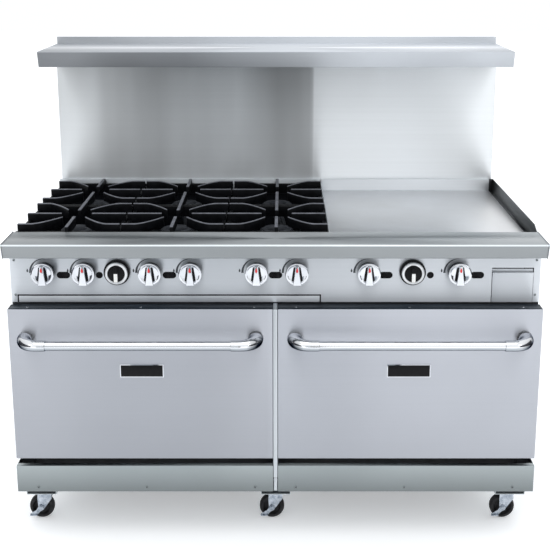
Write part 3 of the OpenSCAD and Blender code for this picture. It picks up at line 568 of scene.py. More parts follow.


# ------------------------------------------------------------------ front rail
# A deep landing rail of folded sheet with a sloping lip and welded end caps.
# Its top and its sloping lip are painted darker than the fold at the nose, the top a little less so towards
# the right: painted shade and painted reflection. The fold at the nose keeps the bright tint, a painted
# highlight on top of its real reflection.
low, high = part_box("front_rail")
rail = bmesh.new()
TAPER, SKIN, RETURN = 0.012, 0.002, 0.106
add_section(rail, [(high.y, low.z + 0.010), (high.y, high.z), (low.y, high.z), (low.y + TAPER, low.z),
                   (low.y + RETURN, low.z), (low.y + RETURN, low.z + SKIN),
                   (low.y + TAPER + SKIN, low.z + SKIN), (low.y + SKIN + 0.0005, high.z - SKIN),
                   (high.y - SKIN, high.z - SKIN), (high.y - SKIN, low.z + 0.010)], low.x + 0.0002,
            high.x - 0.0002, 0.0036, 6)
for start in (low.x, high.x - SKIN):
    add_section(rail, [(low.y, high.z), (low.y + TAPER, low.z), (low.y + RETURN, low.z),
                       (high.y, low.z + 0.010), (high.y, high.z)], start, start + SKIN, 0.0006, 2)
# Painted shade and reflection on the top and the lip, and a painted highlight on the nose fold.
steel_rail = brushed("stainless_rail", (0.88, 0.93, 0.96), 0.42, dim=lambda s: (
    s.clamp((s.along(1) - (NOSE + 0.0040)) * 900) * (1 - s.clamp((s.along(0) - 0.1) * 3) * 0.25)
    + s.clamp((0.9114 - s.along(2)) * 900)))
finish_piece("landing_rail", rail, "range_body", steel_rail, ["front_rail"])


# ------------------------------------------------------------------ control panel
# A flat stainless sheet pierced for the valve stems, the pilot windows and the lighting holes.
# The marks beside each knob are printed in dark ink.
steel_panel = brushed("stainless_panel", (0.72, 0.75, 0.79), 0.42)
coat("control_panel", steel_panel)
KNOB_Z = (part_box("gas_knob_1")[0].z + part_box("gas_knob_1")[1].z) / 2 + 0.0005
knobs = [f"gas_knob_{i}" for i in range(1, 9)]
dials = ["oven_dial_left", "oven_dial_right"]


def middle_x(node):
    low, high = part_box(node)
    return (low.x + high.x) / 2


knob_xs = [middle_x(k) for k in knobs]
SLOT_Z = 0.801
pair_centres = [(knob_xs[i] + knob_xs[i + 1]) / 2 - 0.004 for i in (0, 2, 4)]
slot_xs = pair_centres + [0.318, 0.581]
port_xs = [-0.506, 0.446]


def stadium(width, height, steps=10):
    """Outline of a slot with round ends."""
    radius, reach = height / 2, (width - height) / 2
    arc = [math.pi * i / steps for i in range(steps + 1)]
    right = [(reach + radius * math.sin(a), radius * math.cos(a)) for a in arc]
    left = [(-reach - radius * math.sin(a), -radius * math.cos(a)) for a in arc]
    return right + left


# The pilot windows and the lighting holes are black plates set in the openings: painted shade.
windows = bmesh.new()
for x in slot_xs:
    add_plate(windows, stadium(0.0405, 0.0215), 0.002, facing(x, panel_face + 0.0045, SLOT_Z), 0.0004)
    add_lathe(windows, [(0, 0), (0.003, 0), (0.003, 0.003), (0.0015, 0.0036), (0, 0.0036)],
              (x - 0.006, panel_face + 0.0025, SLOT_Z), "Y", 16)
for x in port_xs:
    add_lathe(windows, [(0, -0.0045), (0.0112, -0.0045), (0.0112, -0.0025), (0, -0.002)],
              (x, panel_face, SLOT_Z), "Y", 32)
finish_piece("pilot_windows", windows, "range_body", painted_shade_black)

ink = mottled("printed_ink", 300, (0.3, (0.025, 0.03, 0.04)), (0.7, (0.06, 0.07, 0.08)), detail=2,
              Roughness=0.55)


INK_THICK = 0.00012


def add_crescent(mesh, x, z, radius, start, end, thick):
    """A printed arc that tapers from its start to its end, angles in degrees."""
    steps = 14
    turn = [math.radians(start + (end - start) * i / steps) for i in range(steps + 1)]
    inner = [(radius * math.cos(a), radius * math.sin(a)) for a in turn]
    outer = [((radius + thick * (1 - i / steps) + 0.0002) * math.cos(a),
              (radius + thick * (1 - i / steps) + 0.0002) * math.sin(a)) for i, a in enumerate(turn)]
    add_plate(mesh, inner + outer[::-1], INK_THICK, facing(x, panel_face, z), 0)


def flame(size):
    """Outline of a small flame: round below and drawn to a point above."""
    steps = 12
    points = []
    for i in range(steps):
        a = math.tau * i / steps
        lift = max(0.0, math.sin(a)) ** 3
        points.append((size * 0.62 * math.cos(a) * (1 - 0.4 * lift), size * math.sin(a) * (1 + 0.7 * lift)))
    return points


prints = bmesh.new()
for x in knob_xs:
    add_crescent(prints, x, KNOB_Z, 0.0376, 186, 84, 0.0066)
    add_plate(prints, flame(0.0042), INK_THICK, facing(x - 0.0490, panel_face, KNOB_Z + 0.002), 0)
    add_plate(prints, flame(0.0018), INK_THICK, facing(x + 0.004, panel_face, KNOB_Z + 0.0425), 0)
finish_piece("printed_marks", prints, "range_body", ink)


# ------------------------------------------------------------------ gas knobs
# Die-cast knobs, chromed, with a flared grip bar between two grooves painted black as painted shade, and a
# red pointer.
# The skirt behind each is coloured dark as a painted reflection and pushes on to the valve stem.
red_paint = mottled("red_pointer", 500, (0.3, (0.55, 0.015, 0.02)), (0.8, (0.75, 0.04, 0.04)), detail=2,
                    Roughness=0.35)
dark_reflection_chrome = mottled("dark_reflection_chrome", 90, (0.3, (0.03, 0.035, 0.04)), (0.8, (0.09, 0.10, 0.12)),
                        detail=3, gloss=(0.1, 0.08), Metallic=1.0, Specular_Tint=(0.15, 0.16, 0.18, 1))


def finish_control(name, mesh, x, body, finish, nodes=()):
    """Sets a mesh made about its own axis on the panel at x, and makes it a piece."""
    mesh.transform(facing(x, panel_face, KNOB_Z))
    finish_piece(name, mesh, body, finish, nodes)


for node in knobs:
    low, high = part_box(node)
    r = (high.x - low.x) / 2
    x = (low.x + high.x) / 2
    skirt = bmesh.new()
    add_lathe(skirt, [(0.004, -0.0300), (0.004, 0.002), (r - 0.006, 0.002), (r - 0.0045, 0.004),
                      (r - 0.0015, 0.020), (r - 0.0008, 0.0255), (r, 0.0275), (r, 0.0290),
                      (r - 0.002, 0.0292), (0, 0.0292)], steps=72)
    finish_control(node + "_skirt", skirt, x, node, dark_reflection_chrome)
    body = bmesh.new()
    add_lathe(body, [(r - 0.004, 0.0288), (r, 0.0290), (r, 0.0295), (r - 0.0012, 0.0318),
                     (r - 0.0035, 0.0330), (r - 0.0065, 0.0332), (r - 0.009, 0.0318), (0.012, 0.0300),
                     (0, 0.0296)],
              steps=72)
    add_plate(body, [(-0.0118, -r + 0.003), (0.0118, -r + 0.003), (0.0108, -r + 0.012), (0.0072, 0.004),
                     (0.0058, r - 0.008), (0.004, r - 0.0055), (-0.004, r - 0.0055), (-0.0058, r - 0.008),
                     (-0.0072, 0.004), (-0.0108, -r + 0.012)], 0.0145, Matrix.Translation((0, 0, 0.0278)),
              0.0018, 3)
    finish_control(node + "_casting", body, x, node, chrome, [node])
    groove = bmesh.new()
    for sign in (-1, 1):
        add_plate(groove, [(sign * 0.0165, -r + 0.010), (sign * 0.0100, r - 0.0125),
                           (sign * 0.0050, r - 0.0105), (sign * 0.0060, 0.004),
                           (sign * 0.0100, -r + 0.010)][::sign], 0.0012,
                  Matrix.Translation((0, 0, 0.0305)), 0)
    finish_control(node + "_grooves", groove, x, node, painted_shade_black)
    pointer = bmesh.new()
    add_plate(pointer, flame(0.0054), 0.0004, Matrix.Translation((0, r - 0.0195, 0.0422)), 0.0001, 1)
    finish_control(node + "_pointer", pointer, x, node, red_paint)


# ------------------------------------------------------------------ oven dials
# Thermostat dials: a black moulded collar, a bright trim ring and a black centre with a white pointer.
# The collar and the centre are one moulding on the thermostat stem.
black_moulding = mottled("black_moulding", 220, (0.3, (0.002, 0.002, 0.003)), (0.8, (0.007, 0.007, 0.008)),
                         gloss=(0.3, 0.2), relief=(0.06, 0.0003), Specular_IOR_Level=0.15)
white_paint = mottled("white_pointer", 400, (0.3, (0.72, 0.72, 0.70)), (0.8, (0.86, 0.86, 0.85)), detail=2,
                      Roughness=0.4)
satin = mottled("satin_aluminium", 260, (0.3, (0.74, 0.76, 0.78)), (0.8, (0.86, 0.87, 0.88)), detail=3,
                gloss=(0.2, 0.30), Metallic=0.7)
for node in dials:
    low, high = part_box(node)
    r = (high.x - low.x) / 2
    x = (low.x + high.x) / 2
    collar = bmesh.new()
    add_lathe(collar, [(0.004, -0.030), (0.004, 0.002), (r - 0.001, 0.002), (r, 0.003), (r, 0.012),
                       (r - 0.001, 0.0135), (r - 0.006, 0.014), (0, 0.014)], steps=72)
    add_lathe(collar, [(0, 0.0235), (0.0235, 0.0235), (0.0242, 0.0245), (0.0238, 0.0262), (0.021, 0.0275),
                       (0, 0.0282)], steps=64)
    add_plate(collar, [(-0.0072, -0.0225), (0.0072, -0.0225), (0.0060, 0.0195), (0.004, 0.0215),
                       (-0.004, 0.0215), (-0.0060, 0.0195)], 0.0120, Matrix.Translation((0, 0, 0.0225)),
              0.0015, 3)
    finish_control(node + "_moulding", collar, x, node, black_moulding, [node])
    ring = bmesh.new()
    add_lathe(ring, [(0.0315, 0.0135), (0.0322, 0.016), (0.0325, 0.0215), (0.0315, 0.0238),
                     (0.0285, 0.0252), (0.0255, 0.0248), (0.0243, 0.0236), (0.0243, 0.0205),
                     (0.0315, 0.0135)], steps=72)
    finish_control(node + "_trim_ring", ring, x, node, satin)
    pointer = bmesh.new()
    add_block(pointer, (-0.0052, -0.0218, 0.0344), (0.0052, 0.003, 0.0347), 0.0001, 1)
    finish_control(node + "_pointer", pointer, x, node, white_paint)


# ------------------------------------------------------------------ crumb tray and grease drawer
# The tray is one long shallow pan behind a narrow front. The drawer is a deep tin with a folded front.
# A black strip round the opening of the tray is painted shadow in the gap between tray and panel.
def add_open_box(mesh, low, high, wall=0.0015):
    """A tin without a lid, with rolled rims."""
    add_block(mesh, low, (high.x, high.y, low.z + wall), 0.0004)
    for x in (low.x, high.x - wall):
        add_block(mesh, (x, low.y, low.z), (x + wall, high.y, high.z), 0.0005)
    for y in (low.y, high.y - wall):
        add_block(mesh, (low.x, y, low.z), (high.x, y + wall, high.z), 0.0005)


low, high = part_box("crumb_tray")
tray = bmesh.new()
add_block(tray, (low.x, panel_face - 0.0008, low.z), (high.x, panel_face + 0.001, high.z), 0.0007, 3)
add_open_box(tray, Vector((low.x + 0.014, panel_face + 0.001, low.z + 0.0016)),
             Vector((high.x - 0.014, high.y, high.z - 0.001)))
finish_piece("crumb_tray_pan", tray, "crumb_tray", steel_panel, ["crumb_tray"])
lining = bmesh.new()
GAP = 0.0040
add_block(lining, (low.x - GAP, panel_face - 0.0006, high.z),
          (high.x + GAP, panel_face + 0.0004, high.z + GAP), 0.0002, 1)
for x in (low.x - GAP, high.x):
    add_block(lining, (x, panel_face - 0.0006, low.z), (x + GAP, panel_face + 0.0004, high.z), 0.0002, 1)
finish_piece("tray_opening_painted_shadow", lining, "range_body", painted_shade_black)

low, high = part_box("grease_drawer")
drawer = bmesh.new()
face = panel_face - 0.002
add_section(drawer, [(face, low.z), (face, high.z - 0.025), (face - 0.0038, high.z - 0.0095),
                     (face - 0.0030, high.z - 0.0085), (panel_face + 0.0015, high.z - 0.0085),
                     (panel_face + 0.0015, low.z)],
            low.x, high.x, 0.0009, 3)
add_block(drawer, (low.x, panel_face + 0.004, high.z - 0.010), (high.x, panel_face + 0.0055, high.z),
          0.0004)
add_open_box(drawer, Vector((low.x + 0.010, panel_face + 0.001, low.z + 0.003)),
             Vector((high.x - 0.010, high.y, high.z - 0.020)))
finish_piece("grease_drawer_tin", drawer, "grease_drawer", steel_panel, ["grease_drawer"])
# The finger hole in the drawer front is a black plug: painted shade in the hole.
peg = bmesh.new()
add_lathe(peg, [(0, -0.0024), (0.0022, -0.0024), (0.0026, -0.0018), (0.0026, 0)],
          ((low.x + high.x) / 2 + 0.004, panel_face, high.z - 0.027), "Y", 20)
finish_piece("grease_drawer_hole", peg, "grease_drawer", painted_shade_black)


# ------------------------------------------------------------------ burners
# Cast-iron rings on venturi arms. The ports are slots cut in the ring's sloping rim.
# The box around them is mill sheet, near black: soot, and painted shade under the grates.
cast = Finish("cast_iron", Specular_IOR_Level=0.12)
sand = cast.noise((1, 1, 1), size=420, detail=4, rough=0.7)
lumps = cast.noise((1, 1, 1), size=60, detail=3)
# The tops of the grate bars are painted lighter grey: a painted highlight.
top_painted_highlight = cast.clamp((cast.along(2) - (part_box("grate_front_1")[1].z - 0.0024)) * 900)
seasoned = cast.ramp(lumps, (0.3, (0.0010, 0.0012, 0.0018)), (0.75, (0.004, 0.0045, 0.006)))
cast = cast.feed(
    Base_Color=cast.mix(top_painted_highlight * (lumps * 0.8 + 0.25), seasoned, (0.20, 0.21, 0.24, 1)),
    Roughness=cast.clamp(sand * 0.35 + 0.30), Normal=cast.bump(sand * 0.6 + lumps, 0.35, 0.0008))
burner_iron = mottled("burner_iron", 150, (0.3, (0.010, 0.012, 0.016)), (0.75, (0.035, 0.040, 0.050)),
                      detail=5, rough=0.7, gloss=(0.4, 0.35), relief=(0.3, 0.0008), Metallic=0.35)
HEAD_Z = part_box("top_burners")[1].z
grate_nodes = [f"grate_{row}_{i}" for row in ("front", "rear") for i in (1, 2, 3)]


def mill_sheet(name, tint, roughness):
    """Plain inner sheet: cloudy mill finish with darker heat stains."""
    sheet = Finish(name, Metallic=0.9)
    cloud = sheet.noise((1, 1, 1), size=9.0, detail=6.0, rough=0.65)
    stain = sheet.noise((1, 1, 1), size=2.4, detail=3.0)
    colour = sheet.mix(cloud, shade(tint, 0.82), shade(tint, 1.1))
    colour = sheet.mix(sheet.clamp(stain * 3.0 - 1.5) * 0.4, colour,
                       (tint[0] * 0.7, tint[1] * 0.6, tint[2] * 0.5, 1))
    return sheet.feed(
        Base_Color=colour,
        Roughness=sheet.clamp(roughness + (cloud - 0.5) * 0.3),
        Normal=sheet.bump(cloud, 0.1, 0.001))


def add_burner(mesh, x, y, valve_x, mouth_y):
    ring = bmesh.new()
    add_lathe(ring, [(0.024, -0.024), (0.046, -0.024), (0.051, -0.013), (0.050, -0.004), (0.045, 0),
                     (0.034, 0), (0.028, -0.004), (0.025, -0.012), (0.024, -0.024)], steps=72)
    rim = [f for f in ring.faces
           if 0.3 < f.normal.normalized().z < 0.95 and f.calc_center_median().xy.length > 0.044]
    rim.sort(key=lambda f: math.atan2(f.calc_center_median().y, f.calc_center_median().x))
    ports = bmesh.ops.extrude_discrete_faces(ring, faces=rim[::3])["faces"]
    for port in ports:
        bmesh.ops.translate(ring, vec=port.normal * -0.002, verts=port.verts)
    add_lathe(ring, [(0.0245, -0.046), (0.0245, -0.012), (0.020, -0.012), (0.020, -0.040), (0, -0.041)],
              steps=40)
    add_lathe(ring, [(0, -0.018), (0.006, -0.018), (0.0085, -0.020), (0.0085, -0.04)], steps=24)
    ring.transform(Matrix.Translation((x, y, HEAD_Z)))
    merge(mesh, ring)
    start, end = Vector((valve_x, mouth_y, KNOB_Z)), Vector((x, y, HEAD_Z - 0.034))
    arm = bmesh.new()
    reach = (end - start).length
    add_lathe(arm, [(0.0115, 0), (0.0175, 0.0005), (0.0178, 0.014), (0.0145, 0.020), (0.0115, 0.050),
                    (0.0125, reach * 0.6), (0.0165, reach - 0.03), (0.018, reach)], steps=28)
    add_block(arm, (-0.002, 0.010, 0.03), (0.002, 0.020, reach - 0.03), 0.0015)
    arm.transform(Matrix.Translation(start) @ (end - start).to_track_quat("Z", "Y").to_matrix().to_4x4())
    merge(mesh, arm)
    saddle = y + 0.058
    add_block(mesh, (x - 0.040, saddle - 0.012, HEAD_Z - 0.036),
              (x + 0.040, saddle + 0.012, HEAD_Z - 0.014), 0.003, 3)
    add_block(mesh, (x - 0.014, y + 0.020, HEAD_Z - 0.040), (x + 0.014, saddle, HEAD_Z - 0.018), 0.003, 3)


burners = bmesh.new()
mouth = NOSE + 0.150
for index, node in enumerate(grate_nodes):
    low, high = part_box(node)
    column = index % 3
    add_burner(burners, (low.x + high.x) / 2, (low.y + high.y) / 2, knob_xs[column * 2 + (index > 2)],
               mouth)
finish_piece("burner_heads", burners, "range_body", burner_iron, ["top_burners"])
# Near black sheet: soot, and painted shade under the grates.
soot_and_shade = mill_sheet("soot_and_shade_sheet", (0.020, 0.022, 0.027), 0.55)
coat("burner_box", soot_and_shade)
coat("tube_burners", burner_iron)
upstand = bmesh.new()
low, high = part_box("burner_box")
right_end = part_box("griddle")[0].x - 0.002
add_section(upstand, [(high.y - 0.0062, 0.8795), (high.y - 0.0062, high.z + 0.0003),
                      (high.y + 0.0002, high.z + 0.0003), (high.y + 0.0002, high.z - 0.0023),
                      (high.y - 0.0035, high.z - 0.0023), (high.y - 0.0035, 0.8795)],
            -HALF, right_end, 0.0008, 3)
finish_piece("rear_upstand", upstand, "range_body", steel_long)


# ------------------------------------------------------------------ grates
# Six loose castings. Each has a frame that sits on the ledges and fingers that reach in over the burner.
# The tops of the bars are painted lighter grey: a painted highlight.
BURNER_BAR, FINGER_HALF, TIP, TIP_Y, BEND_LENGTH = 0.128, 0.0048, 0.034, 0.045, 0.076


def finger_y(x):
    """Distance of a curved finger from the burner's centre line: flat at the frame, drawn in at the tip."""
    reach = min(1.0, (x - TIP) / BEND_LENGTH)
    return TIP_Y + (BURNER_BAR - TIP_Y) * (1 - (1 - reach) ** 1.45)


def add_grate(mesh, half_x, half_y, low_z, high_z):
    steps = 12
    xs = [TIP + BEND_LENGTH * i / steps for i in range(steps + 1)] + [half_x]
    inner = [(x, finger_y(x) - FINGER_HALF) for x in xs]
    outer = [(x, finger_y(x) + FINGER_HALF) for x in xs]
    deep = high_z - low_z
    finger_low = low_z + 0.020
    for sx in (-1, 1):
        for sy in (-1, 1):
            outline = [(x * sx, y * sy) for x, y in inner + outer[::-1]]
            add_plate(mesh, outline[::sx * sy], high_z - finger_low,
                      Matrix.Translation((0, 0, finger_low)), 0.0018, 3)
        add_block(mesh, (min(sx * 0.046, sx * half_x), -FINGER_HALF, finger_low),
                  (max(sx * 0.046, sx * half_x), FINGER_HALF, high_z), 0.0018, 3)
        add_block(mesh, (-FINGER_HALF, min(sx * 0.040, sx * half_y), finger_low),
                  (FINGER_HALF, max(sx * 0.040, sx * half_y), high_z), 0.0018, 3)
        add_block(mesh, (-half_x, sx * (half_y - 0.006) - 0.006, low_z),
                  (half_x, sx * (half_y - 0.006) + 0.006, low_z + deep * 0.68), 0.0025, 3)
        add_block(mesh, (sx * (half_x - 0.006) - 0.006, -half_y, low_z),
                  (sx * (half_x - 0.006) + 0.006, half_y, low_z + deep * 0.56), 0.0025, 3)


for node in grate_nodes:
    low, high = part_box(node)
    centre = (low + high) / 2
    grate = bmesh.new()
    add_grate(grate, (high.x - low.x) / 2, (high.y - low.y) / 2, low.z, high.z)
    grate.transform(Matrix.Translation((centre.x, centre.y, 0)))
    finish_piece(node + "_casting", grate, node, cast, [node])


# ------------------------------------------------------------------ griddle
# A thick ground plate in a welded surround. A grease trough along the front drains through a chute to the
# drawer, and the splash plate at the right, with its inner face, is painted dark: painted shade.
plate_steel = Finish("ground_plate", Metallic=1.0)
circles = plate_steel.noise((3.0, 260, 260), detail=3, rough=0.6)
heat = plate_steel.noise((1, 1, 1), size=3.2, detail=4, rough=0.6)
plate_steel = plate_steel.feed(
    Base_Color=plate_steel.mix(plate_steel.clamp(heat * 2.2 - 0.8), (0.80, 0.81, 0.83, 1),
                               (0.72, 0.72, 0.72, 1)),
    Roughness=plate_steel.clamp(circles * 0.18 + heat * 0.10 + 0.20),
    Normal=plate_steel.bump(circles, 0.04, 0.0004))
low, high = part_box("griddle")
WALL, PLATE_THICK, TROUGH_LOW, CHUTE_LOW = 0.003, 0.019, 0.835, 0.808
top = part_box("front_rail")[1].z - 0.027
plate = bmesh.new()
inner = high.x - 0.012
rear = NOSE + 0.803
add_block(plate, (low.x + WALL + 0.0002, NOSE + 0.226, top - PLATE_THICK),
          (inner - WALL - 0.0002, rear, top), 0.0020, 3)
finish_piece("griddle_plate", plate, "range_body", plate_steel, ["griddle"])
surround = bmesh.new()
trough = (NOSE + 0.147, NOSE + 0.2258)
add_section(surround, [(rear, top - PLATE_THICK), (rear, high.z), (high.y, high.z), (high.y, high.z - WALL),
                       (rear + 0.0028, high.z - WALL), (rear + 0.0028, top - PLATE_THICK)], low.x, high.x,
            0.0009, 3)
add_block(surround, (low.x, trough[0], low.z + 0.027), (low.x + WALL, rear, high.z - 0.014), 0.0012)
add_section(surround, [(trough[0], 0.8802), (trough[0], high.z - 0.015), (NOSE + 0.184, high.z),
                       (rear, high.z), (rear, 0.8802)], high.x - WALL, high.x, 0.0010, 3)
add_block(surround, (inner - WALL, trough[0], TROUGH_LOW), (inner, rear, 0.883), 0.0008)
add_block(surround, (inner - 0.001, trough[0], 0.8802), (high.x - 0.001, rear, 0.883), 0.0008)
add_block(surround, (low.x, trough[0], TROUGH_LOW), (inner, trough[0] + WALL, top), 0.0010)
add_block(surround, (low.x, trough[1] - WALL, TROUGH_LOW), (inner, trough[1], top - PLATE_THICK), 0.0008)
for x0, x1 in ((low.x, 0.6548), (0.7202, inner)):
    add_block(surround, (x0, trough[0], TROUGH_LOW), (x1, trough[1], 0.838), 0.0006)
for y0, y1 in ((trough[0], NOSE + 0.160), (NOSE + 0.214, trough[1])):
    add_block(surround, (0.654, y0, TROUGH_LOW), (0.721, y1, 0.838), 0.0006)
for x in (0.653, 0.720):
    add_block(surround, (x, NOSE + 0.158, CHUTE_LOW), (x + 0.002, NOSE + 0.216, 0.8375), 0.0005)
for y in (NOSE + 0.158, NOSE + 0.214):
    add_block(surround, (0.653, y, CHUTE_LOW), (0.722, y + 0.002, 0.8375), 0.0005)
# The right-hand wall of the surround is painted dark: painted shade.
steel_splash = brushed("stainless_splash", (0.74, 0.77, 0.80), 0.42, darkest=0.12,
                       dim=lambda s: (s.along(0) - (HALF - 0.0160)) * 2000)
finish_piece("griddle_surround", surround, "range_body", steel_splash)


# ------------------------------------------------------------------ backguard and high shelf
# Two folded casings behind the cooktop. The shelf's lip slopes back and its rear edge turns up.
def guard_painted_reflection(s):
    """Painted reflection: dark bands on the left half of the backguard's front, strongest in the band by the
    griddle's edge and growing upward, with streaks. The back face gets an even middle darkening.
    """
    x = s.along(0)
    band = s.clamp((x + 0.14) * 7) * s.clamp((0.134 - x) * 90) * 0.66
    streaks = s.noise((9, 9, 0.6), detail=1.5) * s.clamp((0.13 - x) * 60)
    left = s.clamp((-0.12 - x) * 3.5) * 0.45
    front = s.clamp((0.400 - s.along(1)) * 400)
    upward = s.clamp(0.42 + (s.along(2) - 0.95) * 1.9)
    return ((left + band) * upward + streaks * 0.50 - 0.14) * front + (1 - front) * 0.55


def shelf_painted_reflection(s):
    # Painted reflection: the shelf darker towards the left, most on its lip.
    x = s.along(0)
    lip = s.clamp((1.3968 - s.along(2)) * 500)
    return s.clamp((0.30 - x) * 1.7) * (lip * 0.60 + 0.30 - s.clamp(x * -1.2 - 0.2) * -0.3)


steel_guard = brushed("stainless_guard", (0.90, 0.93, 0.95), 0.42, dim=guard_painted_reflection)
steel_shelf = brushed("stainless_shelf", (0.62, 0.65, 0.69), 0.42, dim=shelf_painted_reflection)
low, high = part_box("backguard")
guard = bmesh.new()
add_block(guard, low, high, 0.0016, 3)
for column in range(-6, 7):
    for z in (1.310, 1.340, 1.370):
        add_block(guard, (column * 0.105 - 0.038, high.y - 0.0008, z - 0.005),
                  (column * 0.105 + 0.038, high.y + 0.0035, z + 0.003), 0.0016, 3)
finish_piece("backguard_casing", guard, "range_body", steel_guard, ["backguard"])

low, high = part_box("high_shelf")
SHELF_TOP = frame["record"]["mounts"][1]["pos_m"][2]
LIP = 0.050
shelf = bmesh.new()
add_section(shelf, [(high.y, SHELF_TOP - SHEET), (high.y, high.z), (high.y - SHEET, high.z),
                    (high.y - SHEET, SHELF_TOP), (low.y, SHELF_TOP), (low.y + 0.014, SHELF_TOP - LIP),
                    (low.y + 0.026, SHELF_TOP - LIP), (low.y + 0.026, SHELF_TOP - LIP + SHEET),
                    (low.y + 0.014 + SHEET, SHELF_TOP - LIP + SHEET),
                    (low.y + SHEET + 0.0004, SHELF_TOP - SHEET)], low.x, high.x, 0.0008, 3)
guard_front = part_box("backguard")[0].y
for start in (low.x, high.x - SHEET):
    add_section(shelf, [(low.y + 0.001, SHELF_TOP - 0.001), (low.y + 0.0145, SHELF_TOP - LIP + 0.001),
                        (guard_front - 0.001, SHELF_TOP - LIP + 0.001),
                        (guard_front - 0.001, SHELF_TOP - 0.001)],
                start, start + SHEET, 0.0005, 2)
for sign in (-1, 1):
    x0, x1 = sorted((sign * 0.360, sign * 0.400))
    add_block(shelf, (x0, low.y + 0.028, SHELF_TOP - LIP + 0.008),
              (x1, guard_front - 0.001, SHELF_TOP - 0.0017), 0.003, 3)
finish_piece("high_shelf_casing", shelf, "range_body", steel_shelf, ["high_shelf"])


# ------------------------------------------------------------------ gas train
# Black pipe and brass valves behind the panel.
# The inlet at the back is a threaded pipe end in a collar.
black_pipe = mottled("black_iron_pipe", 80, (0.3, (0.012, 0.012, 0.014)), (0.8, (0.05, 0.05, 0.052)),
                     gloss=(0.3, 0.3), Metallic=0.3)
brass = mottled("machined_brass", 120, (0.3, (0.42, 0.30, 0.12)), (0.8, (0.70, 0.54, 0.24)),
                gloss=(0.3, 0.2), Metallic=1.0)
coat("gas_manifold", black_pipe)
coat("gas_valves", brass)
low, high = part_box("gas_inlet")
inlet = bmesh.new()
pipe_r, bore_r = 0.01335, 0.01035
collar_end = BACK + 0.0001
outline = [(bore_r, 0), (0.0165, 0), (0.017, 0.0006), (0.017, 0.0112), (0.0165, 0.0118), (pipe_r, 0.0118)]
pitch = 0.0018
threads = int((high.y - collar_end) / pitch) - 1
for i in range(threads):
    outline += [(pipe_r, 0.0122 + i * pitch), (pipe_r - 0.0009, 0.0122 + (i + 0.5) * pitch)]
outline += [(pipe_r, high.y - low.y - 0.001), (pipe_r - 0.001, high.y - low.y), (bore_r, high.y - low.y),
            (bore_r, 0)]
add_lathe(inlet, [(r, -h) for r, h in outline], ((low.x + high.x) / 2, low.y, (low.z + high.z) / 2), "Y",
          48)
finish_piece("gas_inlet_pipe", inlet, "range_body", black_pipe, ["gas_inlet"])


# ------------------------------------------------------------------ ovens and racks
# The liners are sheet steel with grey speckled enamel.
# The racks are chromed wire and rest on guides in the liners.
enamel = Finish("speckled_enamel", Coat_Weight=0.6, Coat_Roughness=0.1)
specks = enamel.node("ShaderNodeTexVoronoi", inputs={"Vector": enamel.stretched((1, 1, 1)), "Scale": 260.0})
haze = enamel.noise((1, 1, 1), size=6, detail=4)
enamel = enamel.feed(
    Base_Color=enamel.mix(specks > 0.32, (0.30, 0.32, 0.36, 1), (0.055, 0.06, 0.075, 1)),
    Roughness=enamel.clamp(haze * 0.3 + 0.15))
for side in ("left", "right"):
    coat(f"oven_liner_{side}", enamel)
    coat(f"oven_rack_{side}", chrome)


